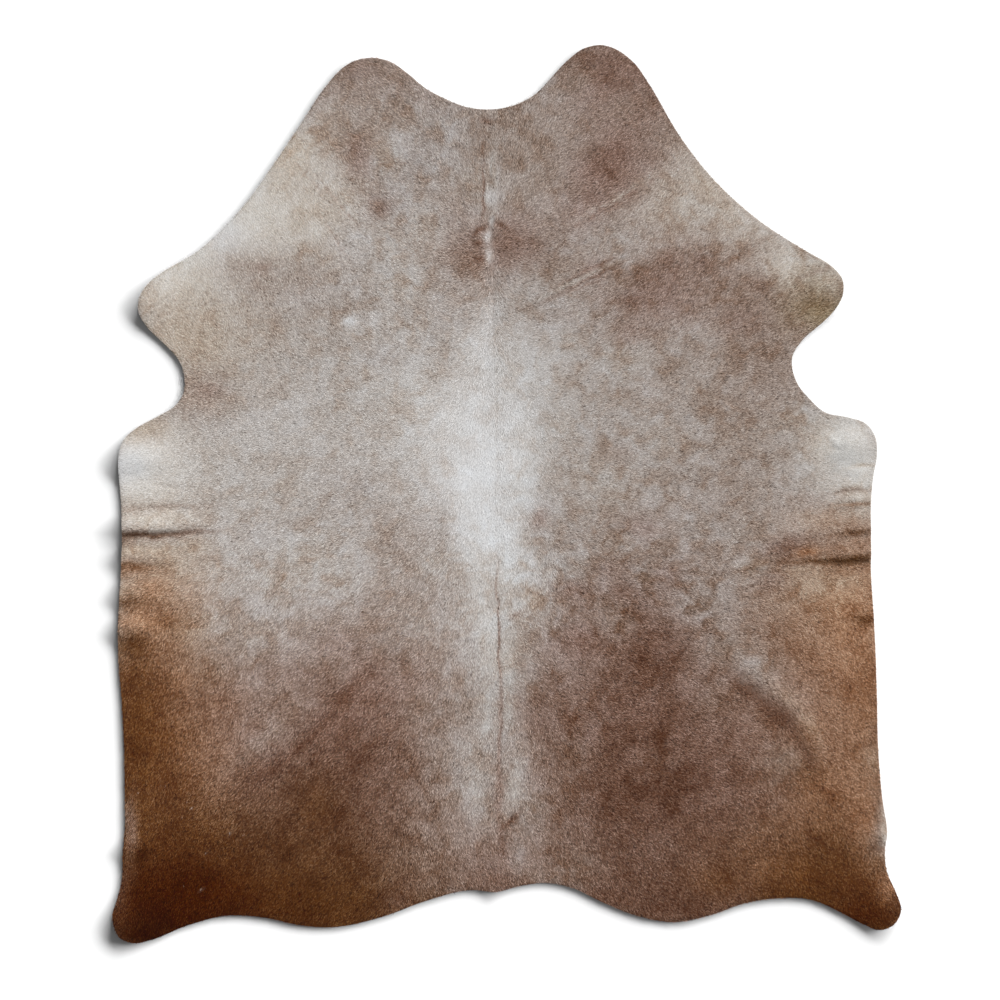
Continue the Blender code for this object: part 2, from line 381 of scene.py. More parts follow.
def fold_height(spot):
    """The sum over the folds of height times bell(along) times bell(cross)."""
    height = np.zeros(spot.shape[:-1])
    for _, x, y, heading, length, neckward, rumpward, rise in FOLDS:
        along_axis, cross_axis = axes(heading)
        if cross_axis[1] < 0:  # the fold's cross axis is to point at the neck
            cross_axis = -cross_axis
        offset = spot - np.array([x, y]) * MM
        along = offset @ along_axis / (length * MM)
        cross = offset @ cross_axis
        cross = cross / np.where(cross > 0, neckward * MM, rumpward * MM)
        height += rise * MM * bell(along) * bell(cross)
    return height


def crease_height(spot):
    """The sum over the creases of rise times bell(along / half length) times bell(cross)."""
    height = np.zeros(spot.shape[:-1])
    for _, x, y, heading, half_length, half_width, rise in CREASES:
        along_axis, cross_axis = axes(heading)
        offset = spot - from_chart(x, y)
        along = offset @ along_axis / (half_length * STEP)
        cross = offset @ cross_axis / (half_width * STEP)
        height += rise * MM * bell(along) * bell(cross)
    return height


highest = fold_height(plan).max()
print(f"the underside rises to {highest / MM:.1f} mm in the folds")

# %% [markdown]
# ## Leather and hair, how thick
#
# The leather is 1.8 mm thick and its lying hair about 4 mm. Near the rim the hair lies down
# over the cut. Along the spine the hair of both sides meets in a low ridge. The skin's mesh
# holds the leather and the matted bottom of the coat. Single hairs make up the rest, so
# together they fill the solid part and no more.

# %% The layers
LEATHER = 1.8 * MM
MATTED = 2.2 * MM  # hair that is part of the skin's mesh
COAT = 3.8 * MM  # all the hair, matted or single
RIM_COAT = 2.2 * MM
RIM_ROUNDING = 16 * MM
SPINE_RIDGE = 1.6 * MM
SPINE_HALF_WIDTH = 42 * MM
SPINE_NECK_END = 2010 * MM
SPINE_RUMP_END = 190 * MM
SPINE_X = -0.012  # half way along, where y is SPINE_Y
SPINE_Y = 1.1
SPINE_LEAN = 0.026  # how much farther left it lies at the neck end


def spine_x(y):
    """The spine leans from left of the middle at the neck to right of it at the rump."""
    return SPINE_X - SPINE_LEAN * (y - SPINE_Y) / SPINE_Y


def inward_share(to_rim):
    """0 at the rim, growing with the distance to 1 where the rim's rounding ends."""
    return np.clip(to_rim / RIM_ROUNDING, 0, 1)


def rounded(to_rim):
    """The inward share as a quarter circle: the root of 1 - (1 - share) squared."""
    return np.sqrt(1 - (1 - inward_share(to_rim)) ** 2)


def coat_depth(spot, to_rim):
    """Rim coat, rising to the full coat as a quarter circle, plus the spine's ridge."""
    coat = RIM_COAT + (COAT - RIM_COAT) * rounded(to_rim)
    x, y = spot[..., 0], spot[..., 1]
    middle = (SPINE_NECK_END + SPINE_RUMP_END) / 2
    reach = (SPINE_NECK_END - SPINE_RUMP_END) / 2
    ridge = SPINE_RIDGE * bell((x - spine_x(y)) / SPINE_HALF_WIDTH) * bell((y - middle) / reach)
    return coat + ridge


def nearest_rim(spot):
    """From each corner of the patch, the flat arrow to the nearest corner of its border."""
    border = np.concatenate((spot[0], spot[:, -1], spot[-1], spot[:, 0]))
    arrows = []
    for row in spot:
        gaps = border[None] - row[:, None]
        nearest = (gaps**2).sum(axis=-1).argmin(axis=1)
        arrows.append(gaps[np.arange(len(row)), nearest])
    return np.array(arrows)


rim_arrows = nearest_rim(plan)
rim_gaps = np.linalg.norm(rim_arrows, axis=-1)
print(f"the innermost corner is {rim_gaps.max():.2f} m from the rim")

# %% [markdown]
# ## Unevenness without a picture
#
# A hide is blotchy at every size. A picture of one would be stuck at one size and one
# place, so the blotches are worked out: random heights on a square lattice, joined by
# smooth steps, at several sizes and turned against each other so that no lattice shows.

# %% Soft noise
LATTICE = 256
SEED = 20
FIRST_TURN, TURN_STEP = 0.7, 1.3  # radians by which the lattices lie turned


def soft_noise(x, y, cell, seed):
    """Lattice heights from -1 to 1 joined by smooth steps 3t^2 - 2t^3 in x and in y."""
    heights = np.random.default_rng(SEED + seed).uniform(-1, 1, (LATTICE, LATTICE))
    turn = FIRST_TURN + TURN_STEP * seed
    across = (x * np.cos(turn) - y * np.sin(turn)) / cell
    down = (x * np.sin(turn) + y * np.cos(turn)) / cell
    i, j = np.floor(across).astype(int), np.floor(down).astype(int)
    s, t = across - i, down - j
    s, t = s * s * (3 - 2 * s), t * t * (3 - 2 * t)
    left, right = i % LATTICE, (i + 1) % LATTICE

    def along_row(j):
        """Row j of the lattice: the left height times 1 - s plus the right one times s."""
        return heights[left, j % LATTICE] * (1 - s) + heights[right, j % LATTICE] * s

    return along_row(j) * (1 - t) + along_row(j + 1) * t


chart_x, chart_y = to_chart(plan)
sample_noise = soft_noise(chart_x, chart_y, 20, 1)
print(f"soft noise spreads by {sample_noise.std():.2f} about {sample_noise.mean():.2f}")

# %% [markdown]
# ## The coat's colours
#
# This coat is roan: silver and brown hairs grow side by side, and their shares change
# slowly over the animal. The back is nearly white, the thighs are brown, the hind shanks
# almost black and the flanks rusty. Painting the mesh by hand would give this, but not
# twice the same. A list of soft patches does: each pulls the colour under it towards one
# named shade. The wide ones come first, then the markings, then softer touches where test
# renders still differed most from the photograph, and last the small marks such as the
# lines along the spine.

# %% The shades, as screen values from 0 to 255
SHADES = {
    "white": (216, 216, 217),
    "pearl": (200, 198, 196),
    "silver": (180, 174, 169),
    "ash": (168, 160, 155),
    "dove": (158, 148, 142),
    "taupe": (152, 138, 129),
    "mushroom": (142, 124, 113),
    "rose brown": (132, 109, 98),
    "cocoa": (114, 86, 73),
    "umber": (96, 68, 54),
    "sepia": (76, 44, 20),
    "sable": (64, 28, 7),
    "black brown": (46, 18, 3),
    "russet": (146, 108, 82),
    "rust": (128, 90, 64),
    "walnut": (98, 62, 36),
    "copper": (170, 128, 97),
    "olive": (126, 104, 74),
    "tan": (176, 158, 140),
    "sand": (188, 177, 166),
    "cream": (207, 200, 191),
    "ivory": (214, 210, 204),
}
print("shades:", len(SHADES))

# %% The wide patches
WIDE_PATCHES = (
    # patch, chart x, chart y, half width, half height, turn, shade, pull
    ("barrel", 420, 420, 300, 170, 0, "silver", 0.85),
    ("right side", 720, 440, 170, 260, 0, "taupe", 0.85),
    ("neck", 500, 130, 240, 110, 0, "taupe", 0.95),
    ("left loin", 300, 560, 190, 90, 0, "ash", 0.60),
    ("left rear", 250, 760, 190, 120, 0, "rose brown", 0.85),
    ("right rear", 700, 740, 230, 150, 0, "rose brown", 0.85),
    ("left haunch", 330, 810, 120, 110, 0, "umber", 0.85),
    ("right haunch", 660, 780, 130, 130, 0, "cocoa", 0.90),
    ("right haunch's heart", 650, 810, 90, 90, 0, "umber", 0.60),
    ("left quarter", 180, 850, 120, 80, 0, "sepia", 0.80),
    ("left belly", 170, 750, 50, 110, 0, "walnut", 0.70),
    ("left belly rim", 125, 740, 42, 130, 0, "walnut", 0.95),
    ("left buttock", 300, 915, 180, 55, 0, "sepia", 0.90),
    ("left hind leg", 165, 900, 85, 50, 0, "sable", 0.90),
    ("left hind shank", 170, 915, 46, 34, 0, "black brown", 0.80),
    ("right belly", 800, 640, 60, 90, 0, "russet", 0.55),
    ("right belly rim", 865, 660, 50, 130, 0, "russet", 0.90),
    ("right rear rim", 835, 800, 60, 70, 0, "rust", 0.80),
    ("right buttock", 700, 900, 150, 50, 0, "umber", 0.85),
    ("right hind leg", 810, 880, 75, 45, 0, "walnut", 0.90),
    ("right hind shank", 860, 908, 46, 28, 0, "sable", 0.85),
    ("rump middle", 490, 800, 66, 120, 0, "mushroom", 0.85),
)
print("wide patches:", len(WIDE_PATCHES))

# %% The main markings
MARKINGS = (
    # patch, chart x, chart y, half width, half height, turn, shade, pull
    ("back, wide", 482, 460, 84, 150, 0, "pearl", 0.60),
    ("back, bright", 490, 460, 44, 130, 0, "white", 0.75),
    ("back, left gleam", 452, 480, 26, 40, 0, "white", 0.50),
    ("back's right edge", 558, 520, 18, 46, 0, "taupe", 0.35),
    ("back's right gleam", 524, 500, 14, 50, 0, "pearl", 0.45),
    ("loin stripe", 486, 610, 34, 80, 0, "pearl", 0.65),
    ("rump stripe", 488, 710, 26, 70, 0, "ash", 0.80),
    ("rump stripe's right", 518, 780, 18, 60, 0, "ash", 0.60),
    ("rump stripe's left", 470, 780, 22, 60, 0, "dove", 0.55),
    ("left neck rim", 308, 150, 26, 60, -38, "sand", 0.60),
    ("left neck cream", 250, 222, 64, 74, -45, "cream", 0.92),
    ("left neck cream's rim", 238, 232, 40, 50, -55, "ivory", 0.75),
    ("left neck fringe", 322, 200, 36, 60, -35, "sand", 0.70),
    ("left neck pale", 403, 190, 24, 66, 0, "dove", 0.70),
    ("left crest pale", 388, 250, 34, 36, 0, "silver", 0.70),
    ("left crest dusk", 445, 315, 24, 56, 0, "dove", 0.60),
    ("left shoulder pale", 190, 275, 50, 32, 35, "cream", 0.90),
    ("left foreleg", 190, 335, 60, 34, 0, "tan", 0.80),
    ("left armpit", 200, 388, 30, 34, 0, "mushroom", 0.40),
    ("left flank pale", 235, 470, 80, 60, 0, "silver", 0.70),
    ("left hollow pale", 225, 590, 70, 56, 0, "ash", 0.75),
    ("left hollow fringe", 270, 640, 60, 34, 30, "taupe", 0.50),
    ("left thigh pale", 225, 730, 52, 56, 0, "rose brown", 0.75),
    ("left thigh brown", 375, 690, 46, 46, 0, "cocoa", 0.60),
    ("left rib smudge", 335, 490, 40, 30, 0, "dove", 0.40),
    ("left loin smudge", 406, 546, 36, 46, 0, "taupe", 0.85),
    ("left loin fringe", 445, 550, 20, 56, 0, "dove", 0.70),
    ("loin stripe's right", 514, 610, 16, 56, 0, "silver", 0.65),
    ("right loin's front", 560, 552, 22, 20, 0, "dove", 0.50),
    ("right neck cream", 728, 205, 66, 34, -50, "sand", 0.85),
    ("right neck fringe", 672, 215, 46, 34, -30, "sand", 0.65),
    ("right shoulder pale", 796, 262, 42, 24, -25, "cream", 0.80),
    ("right foreleg", 815, 305, 44, 30, 0, "olive", 0.65),
    ("right foreleg root", 768, 360, 44, 56, 0, "mushroom", 0.80),
    ("left elbow", 140, 465, 50, 40, 0, "ivory", 0.90),
    ("left elbow below", 160, 508, 46, 22, 0, "sand", 0.65),
    ("right elbow, wide", 835, 462, 60, 44, 20, "silver", 0.70),
    ("right elbow", 850, 448, 36, 40, 0, "ivory", 0.90),
    ("right elbow below", 856, 500, 34, 18, 0, "sand", 0.70),
    ("right shoulder brown", 668, 288, 74, 44, 20, "rose brown", 0.85),
    ("right shoulder's heart", 640, 292, 30, 26, 0, "cocoa", 0.30),
    ("right shoulder's rear", 745, 305, 50, 40, 20, "mushroom", 0.80),
    ("right rib pale", 600, 400, 50, 70, 0, "ash", 0.55),
    ("right rib pale, rear", 668, 436, 50, 40, 0, "ash", 0.65),
    ("back's right side", 528, 452, 24, 54, 0, "pearl", 0.60),
    ("right neck brown", 610, 160, 34, 56, -40, "rose brown", 0.95),
    ("right neck brown's heart", 612, 168, 34, 42, -35, "cocoa", 0.65),
    ("left neck brown", 362, 165, 26, 50, 35, "rose brown", 0.30),
    ("withers brown", 497, 244, 58, 32, 0, "rose brown", 0.90),
    ("withers' left", 462, 260, 22, 30, 0, "mushroom", 0.60),
    ("left lobe", 365, 75, 70, 34, 0, "mushroom", 0.75),
    ("right lobe", 615, 75, 60, 44, 0, "rose brown", 0.90),
    ("right lobe tip", 605, 66, 50, 28, 0, "cocoa", 0.60),
    ("left shoulder brown", 290, 275, 60, 26, 0, "taupe", 0.65),
    ("left flank brown", 168, 594, 50, 26, 0, "russet", 0.55),
    ("left flank rust", 165, 625, 34, 46, 0, "russet", 0.75),
    ("left flank tan", 165, 565, 46, 26, 0, "tan", 0.70),
    ("right flank tan", 815, 595, 46, 26, 0, "tan", 0.60),
    ("right flank copper", 850, 604, 36, 44, 0, "copper", 0.50),
    ("right flank brown", 790, 548, 34, 14, 10, "rose brown", 0.40),
    ("left belly, inner", 152, 738, 34, 80, 0, "walnut", 0.80),
    ("left belly, fringe", 208, 735, 40, 70, 0, "rust", 0.40),
    ("left loin, low", 270, 590, 80, 50, 0, "silver", 0.35),
    ("left thigh gleam", 275, 712, 30, 36, 40, "mushroom", 0.45),
    ("left neck, middle", 425, 160, 34, 46, 0, "dove", 0.60),
    ("left neck, fringe low", 322, 225, 26, 30, -40, "sand", 0.50),
    ("left haunch, low", 325, 885, 100, 50, 0, "sepia", 0.45),
    ("rump end", 492, 864, 46, 34, 0, "rose brown", 0.85),
    ("right haunch, upper", 640, 770, 60, 44, 0, "umber", 0.35),
    ("right buttock, low", 662, 908, 50, 22, 0, "umber", 0.55),
    ("right shank tip", 878, 910, 30, 24, 0, "sable", 0.80),
    ("right thigh's rear", 770, 850, 70, 36, 0, "walnut", 0.35),
    ("right shank fringe", 860, 885, 40, 34, 0, "walnut", 0.45),
    ("left shank fringe", 190, 890, 60, 34, 0, "sable", 0.45),
    ("right haunch, front", 640, 712, 34, 26, 0, "cocoa", 0.50),
    ("right stifle", 800, 668, 18, 22, 0, "rose brown", 0.60),
    ("right loin pale", 536, 582, 40, 32, 0, "silver", 0.80),
    ("loin's middle pale", 500, 570, 44, 34, 0, "pearl", 0.50),
    ("right flank's front pale", 722, 596, 32, 48, 0, "ash", 0.45),
    ("neck's middle pale", 440, 148, 90, 40, 0, "dove", 0.35),
    ("left neck's low pale", 300, 205, 50, 40, -40, "sand", 0.35),
    ("left foreleg's pale", 185, 345, 40, 28, 0, "sand", 0.30),
    ("right elbow's front pale", 800, 432, 34, 24, 0, "silver", 0.45),
    ("rump stripe's left pale", 446, 722, 26, 40, 0, "dove", 0.40),
    ("right belly's front", 800, 668, 34, 34, 0, "rust", 0.50),
    ("left thigh's front", 325, 632, 40, 24, 20, "mushroom", 0.35),
    ("right withers' rear", 560, 312, 38, 22, 0, "dove", 0.65),
    ("left shoulder's rear", 238, 346, 60, 24, 0, "silver", 0.40),
    ("back's front", 482, 372, 40, 30, 0, "silver", 0.45),
    ("right loin brown", 645, 645, 44, 56, 0, "cocoa", 0.80),
    ("right loin smudge", 573, 595, 40, 22, 0, "rose brown", 0.62),
    ("right loin, front", 610, 545, 50, 24, 0, "mushroom", 0.60),
    ("right hip", 565, 700, 40, 40, 0, "cocoa", 0.30),
    ("right thigh pale", 745, 655, 52, 30, -35, "taupe", 0.60),
    ("right thigh pale, low", 785, 700, 18, 30, 35, "rose brown", 0.50),
    ("right hock pale", 880, 828, 12, 30, 0, "taupe", 0.80),
)
print("markings:", len(MARKINGS))

# %% Softer touches over the markings
TOUCHES = (
    # patch, chart x, chart y, half width, half height, turn, shade, pull
    # The next row is painted light that lifts the shade of the left neck's rounded rim.
    ("left neck rim's pale", 288, 156, 24, 24, -38, "cream", 0.90),
    ("left neck's upper pale", 386, 156, 16, 25, 0, "silver", 0.75),
    ("left neck's upper dusk", 407, 145, 10, 12, 0, "taupe", 0.45),
    ("left neck's low spot", 361, 167, 11, 11, 0, "cocoa", 0.35),
    ("neck's front rim dusk", 426, 96, 11, 9, -20, "mushroom", 0.40),
    ("neck's front pale", 436, 136, 26, 18, 0, "ash", 0.50),
    ("neck's low pale", 472, 186, 24, 22, 0, "silver", 0.70),
    ("left crest's front", 423, 184, 24, 20, 0, "ash", 0.55),
    ("left crest's low pale", 427, 226, 20, 22, 0, "silver", 0.65),
    ("left crest's rear", 401, 283, 20, 18, 0, "silver", 0.60),
    ("withers' front dusk", 460, 204, 18, 20, 0, "mushroom", 0.50),
    ("right lobe's low brown", 650, 118, 16, 18, 0, "rose brown", 0.55),
    ("right neck's front pale", 553, 88, 16, 14, 0, "dove", 0.50),
    ("left neck cream's heart", 222, 236, 26, 20, -40, "white", 0.85),
    ("left shoulder's cream", 180, 270, 24, 14, 30, "ivory", 0.55),
    ("left foreleg's end", 147, 295, 18, 20, 0, "cream", 0.60),
    ("left lobe's heart", 358, 66, 18, 12, 0, "rose brown", 0.50),
    ("right lobe's left", 579, 73, 16, 18, 0, "mushroom", 0.60),
    ("left shoulder's rear dusk", 306, 297, 22, 16, 0, "taupe", 0.50),
    ("left ribs' dusk", 385, 356, 20, 16, 0, "dove", 0.60),
    ("left crest silver", 415, 248, 28, 42, 0, "silver", 0.42),
    ("left shoulder dusk", 245, 266, 32, 20, 0, "mushroom", 0.35),
    ("right crest brown", 584, 208, 22, 16, 20, "rose brown", 0.65),
    ("right neck low pale", 700, 214, 30, 22, -30, "silver", 0.40),
    ("right shoulder's front pale", 617, 252, 22, 28, 0, "ash", 0.55),
    ("right foreleg's tip", 830, 280, 18, 13, 0, "sand", 0.35),
    ("right foreleg's olive", 824, 313, 24, 14, 0, "olive", 0.40),
    ("right withers pale", 558, 250, 20, 18, 0, "dove", 0.40),
    ("right withers brown", 560, 312, 24, 14, 0, "taupe", 0.50),
    ("right shoulder's rear dark", 740, 319, 26, 18, 0, "rose brown", 0.60),
    ("right ribs' front dusk", 629, 331, 22, 12, 0, "mushroom", 0.65),
    ("right ribs' front pale", 623, 360, 22, 18, 0, "silver", 0.65),
    ("right ribs' top pale", 691, 339, 22, 16, 0, "ash", 0.50),
    ("right ribs' dusk", 650, 386, 24, 15, 0, "taupe", 0.60),
    ("right ribs' middle pale", 664, 440, 20, 16, 0, "silver", 0.50),
    ("right ribs' rear low pale", 665, 482, 20, 16, 0, "ash", 0.50),
    ("left foreleg's warmth", 200, 352, 44, 24, 0, "tan", 0.40),
    ("left armpit's warmth", 200, 398, 24, 16, 0, "rust", 0.20),
    ("left ribs' front", 245, 372, 32, 18, 0, "silver", 0.32),
    ("left elbow's top", 144, 430, 28, 12, 10, "tan", 0.60),
    ("left ribs' rear", 414, 396, 34, 38, 0, "pearl", 0.42),
    # The next row is painted light that lifts the shade of the left elbow's rounded rim.
    ("left elbow's rim", 121, 468, 17, 21, 0, "white", 0.95),
    ("right armpit", 774, 402, 24, 18, 0, "mushroom", 0.35),
    ("right elbow's front", 797, 419, 18, 13, 0, "silver", 0.60),
    ("right elbow's front dusk", 780, 442, 18, 14, 0, "taupe", 0.60),
    ("right elbow's heart", 827, 443, 20, 16, 0, "ivory", 0.70),
    ("right elbow's rim", 869, 437, 10, 14, 0, "silver", 0.50),
    ("right elbow's low cream", 860, 484, 18, 6, 4, "ivory", 0.55),
    ("right elbow's rear dusk", 814, 503, 24, 11, 0, "rose brown", 0.35),
    ("right elbow's low pale", 842, 474, 34, 28, 0, "pearl", 0.45),
    ("right ribs' low pale", 610, 484, 28, 32, 0, "silver", 0.50),
    ("left elbow's low pale", 142, 488, 28, 12, 0, "ivory", 0.60),
    ("left barrel's low pale", 290, 488, 26, 20, 0, "silver", 0.48),
    ("back's right notch", 538, 522, 14, 15, 0, "mushroom", 0.55),
    ("back's heart", 508, 462, 14, 16, 0, "white", 0.70),
    ("back's rear", 500, 538, 16, 30, 0, "white", 0.45),
    ("right loin dusk", 637, 530, 22, 14, 0, "rose brown", 0.85),
    ("right loin's front pale", 618, 540, 22, 14, 0, "ash", 0.80),
    ("right ribs' rear pale", 702, 527, 24, 16, 0, "dove", 0.60),
    ("right ribs' end pale", 748, 533, 26, 14, 0, "ash", 0.70),
    ("right flank's first pale", 756, 567, 18, 13, 0, "silver", 0.75),
    ("left flank's inner brown", 154, 588, 18, 13, 0, "russet", 0.75),
    ("left flank's inner tan", 190, 626, 24, 22, 0, "tan", 0.45),
    ("left flank's rim", 120, 616, 10, 34, 0, "sand", 0.68),
    ("right flank's front copper", 838, 578, 26, 11, 0, "tan", 0.45),
    ("right flank's inner dusk", 771, 582, 18, 12, 0, "rose brown", 0.60),
    ("right flank's front", 828, 520, 40, 12, 0, "copper", 0.25),
    ("left hollow's rear pale", 306, 558, 34, 24, 0, "silver", 0.85),
    ("left hollow's dusk", 261, 606, 20, 15, 0, "taupe", 0.45),
    ("left loin's low taupe", 308, 606, 24, 14, 0, "taupe", 0.45),
    ("left loin's rear pale", 434, 564, 18, 14, 0, "silver", 0.70),
    ("left loin's low dusk", 417, 588, 30, 17, 0, "taupe", 0.60),
    ("left hip's front pale", 419, 622, 20, 14, 0, "ash", 0.60),
    ("right loin's grey", 530, 599, 18, 15, 0, "pearl", 0.80),
    ("right loin's front grey", 586, 564, 15, 12, 0, "ash", 0.75),
    ("right loin's front dark", 606, 568, 20, 10, 0, "rose brown", 0.60),
    ("right loin's front brown", 621, 590, 18, 14, 0, "cocoa", 0.50),
    ("right loin's second gap", 644, 575, 14, 13, 0, "dove", 0.80),
    ("right loin's rear brown", 666, 576, 16, 14, 0, "rose brown", 0.60),
    ("right loin's dark", 582, 640, 28, 20, 0, "cocoa", 0.75),
    ("right loin's gap", 616, 623, 17, 16, 0, "mushroom", 0.75),
    ("right loin's core", 665, 652, 24, 20, 0, "umber", 0.50),
    ("right flank's inner pale", 699, 604, 24, 22, 0, "dove", 0.60),
    ("right stifle's pale", 721, 647, 24, 17, 0, "taupe", 0.60),
    ("right stifle's second pale", 765, 667, 17, 12, 0, "dove", 0.60),
    ("right loin's middle pale", 560, 566, 26, 14, 0, "ash", 0.50),
    ("left hollow's low pale", 248, 628, 24, 20, 0, "ash", 0.85),
    ("left hip's pale", 384, 638, 22, 16, 0, "dove", 0.45),
    ("left belly's pale", 208, 672, 16, 14, 0, "tan", 0.28),
    ("left stifle's front", 335, 644, 22, 16, 0, "rose brown", 0.45),
    ("left stifle's dusk", 292, 670, 24, 15, 0, "rose brown", 0.48),
    ("left haunch's front", 345, 716, 34, 24, 40, "cocoa", 0.42),
    ("left haunch's heart", 375, 757, 28, 18, 0, "umber", 0.55),
    ("left haunch's front heart", 334, 742, 20, 14, 40, "umber", 0.50),
    ("left haunch's low", 318, 806, 28, 34, 0, "sepia", 0.50),
    ("left thigh's low gleam", 276, 744, 22, 22, 40, "rose brown", 0.42),
    ("left rim's shade", 137, 750, 14, 90, 0, "sepia", 0.38),
    ("left shank's depth", 190, 900, 64, 26, 0, "sable", 0.50),
    ("left shank's end", 144, 934, 32, 14, 0, "black brown", 0.95),
    ("left rim's rear light", 121, 879, 10, 16, 0, "cocoa", 0.60),
    ("left buttock's pale", 412, 882, 22, 13, 0, "rose brown", 0.42),
    ("right rim's low", 864, 704, 18, 44, 0, "rust", 0.48),
    ("right rim's middle", 870, 762, 13, 24, 0, "tan", 0.40),
    ("right rear rim's light", 864, 806, 14, 36, 0, "russet", 0.55),
    ("right thigh's low pale", 784, 764, 20, 22, -50, "taupe", 0.75),
    ("right thigh's low dark", 808, 773, 16, 18, 0, "walnut", 0.45),
    ("right thigh's rear pale", 808, 733, 14, 18, 0, "russet", 0.55),
    ("right haunch's rear dark", 614, 782, 20, 16, 0, "umber", 0.55),
    ("right hip's low brown", 565, 790, 13, 16, 0, "mushroom", 0.35),
    ("right haunch's middle", 664, 714, 30, 22, 0, "umber", 0.40),
    ("right haunch's low pale", 659, 766, 22, 18, 0, "rose brown", 0.65),
    ("right hip's rear pale", 572, 755, 20, 18, 0, "rose brown", 0.95),
    ("right rump's pale", 577, 867, 20, 17, 0, "mushroom", 0.60),
    ("right hip's pale", 589, 702, 20, 17, 0, "rose brown", 0.72),
    ("right thigh's front", 712, 700, 18, 16, 0, "mushroom", 0.48),
    ("right hip's low pale", 560, 804, 18, 28, 0, "rose brown", 0.45),
    ("rump's left pale", 456, 762, 24, 22, 0, "dove", 0.42),
    ("right thigh's rear shade", 826, 856, 26, 38, 0, "sepia", 0.38),
    ("right buttock's shade", 712, 880, 28, 17, 0, "walnut", 0.42),
    ("right buttock's front", 606, 900, 20, 12, 0, "umber", 0.60),
    ("right of the tail", 545, 878, 18, 11, 0, "mushroom", 0.60),
    ("right leg's depth", 804, 896, 42, 15, 0, "sepia", 0.65),
    ("right shank's rim", 887, 886, 12, 16, 0, "russet", 0.80),
    ("right hock's low", 877, 861, 10, 12, 0, "walnut", 0.50),
    ("rump's left dusk", 470, 739, 18, 15, 0, "taupe", 0.75),
    ("rump's right dusk", 537, 778, 13, 16, 0, "rose brown", 0.50),
    ("rump's right pale", 532, 806, 14, 14, 0, "dove", 0.50),
    ("rump end's shade", 500, 882, 24, 12, 0, "umber", 0.42),
    ("right shank's end", 873, 931, 24, 9, 0, "sepia", 0.60),
    ("right crease's front light", 807, 551, 13, 5.5, 5, "copper", 0.85),
    ("left hip's front dusk", 438, 602, 15, 14, 0, "taupe", 0.60),
    ("right neck's rim pale", 703, 178, 16, 14, -50, "sand", 0.50),
    ("left hollow's front pale", 278, 581, 18, 14, 0, "silver", 0.60),
    ("left loin's front pale", 341, 581, 18, 14, 0, "silver", 0.50),
    ("right hip's middle", 569, 724, 16, 15, 0, "rose brown", 0.50),
    ("withers' rear", 495, 276, 14, 10, 0, "dove", 0.50),
    ("right loin's first grey", 572, 519, 14, 12, 0, "ash", 0.60),
    ("right shoulder's gap", 619, 283, 13, 9, 0, "taupe", 0.45),
    ("right shoulder's front brown", 592, 269, 14, 10, 20, "rose brown", 0.55),
    ("right ribs' front brown", 628, 332, 14, 11, 0, "rose brown", 0.50),
    ("back's front dusk", 461, 300, 15, 14, 0, "taupe", 0.55),
    ("left loin's low front dusk", 403, 600, 14, 13, 0, "mushroom", 0.50),
    ("right loin's rear core", 627, 592, 11, 10, 0, "umber", 0.35),
    ("right loin's rear grey", 665, 547, 13, 11, 0, "dove", 0.50),
    ("right loin's low grey", 603, 606, 14, 12, 0, "mushroom", 0.50),
    ("left third crease's rust", 140, 615, 13, 7, 0, "rust", 0.45),
    ("right elbow's front rim pale", 804, 256, 14, 10, -30, "silver", 0.50),
    ("left hock's grey", 125, 816, 8, 14, 0, "taupe", 0.45),
    ("left elbow's top rim", 131, 437, 12, 9, 0, "sand", 0.50),
    ("right loin's low gap", 646, 678, 14, 12, 0, "rose brown", 0.45),
    ("right crease's low light", 800, 570, 14, 5, 0, "tan", 0.45),
    ("left ribs' middle dusk", 360, 485, 15, 13, 0, "dove", 0.60),
    ("right rear rim's low light", 860, 822, 12, 14, 0, "russet", 0.40),
    ("rump's right front dusk", 519, 683, 9, 12, 0, "taupe", 0.50),
    ("left thigh's front brown", 398, 682, 16, 14, 0, "rose brown", 0.50),
    ("right lobe's middle pale", 618, 108, 14, 14, 0, "mushroom", 0.55),
    ("left lobe's low pale", 343, 128, 12, 14, -40, "ash", 0.50),
    ("right buttock's front dark", 719, 817, 18, 14, 0, "umber", 0.55),
    ("left rump's front pale", 421, 706, 16, 15, 0, "taupe", 0.48),
    ("back's right pale", 562, 423, 16, 16, 0, "silver", 0.55),
    ("left belly's inner rust", 183, 678, 12, 12, 0, "rust", 0.35),
    ("back's front gleam", 504, 370, 14, 20, 0, "pearl", 0.50),
    ("left neck's front grey", 405, 118, 14, 13, 0, "silver", 0.35),
    ("right ribs' inner grey", 588, 473, 18, 15, 0, "silver", 0.50),
    ("left elbow's heart", 136, 466, 16, 14, 0, "white", 0.60),
    ("left crease's rear pale", 192, 546, 18, 8, 0, "sand", 0.50),
    ("right neck's front grey", 541, 144, 15, 14, 0, "taupe", 0.50),
    ("right buttock's upper pale", 656, 847, 18, 14, 0, "rose brown", 0.40),
    ("right withers' low dusk", 575, 311, 14, 11, 0, "taupe", 0.60),
    ("left buttock's low pale", 398, 900, 16, 10, 0, "cocoa", 0.50),
    ("right ribs' top grey", 568, 342, 16, 14, 0, "silver", 0.50),
    ("left shank's rim light", 117, 897, 9, 16, 0, "cocoa", 0.50),
    ("right croup's dusk", 537, 722, 13, 14, 0, "umber", 0.28),
    ("left croup's pale", 465, 711, 14, 14, 0, "dove", 0.50),
    ("right thigh's inner pale", 570, 753, 15, 14, 0, "mushroom", 0.45),
    ("right thigh's outer dusk", 742, 748, 13, 13, 0, "umber", 0.30),
    ("right neck's high grey", 574, 82, 13, 12, 0, "taupe", 0.50),
    ("left ribs' inner gleam", 292, 478, 15, 14, 0, "silver", 0.50),
    ("left neck's rear grey", 387, 160, 14, 13, 0, "silver", 0.45),
)
print("touches:", len(TOUCHES))

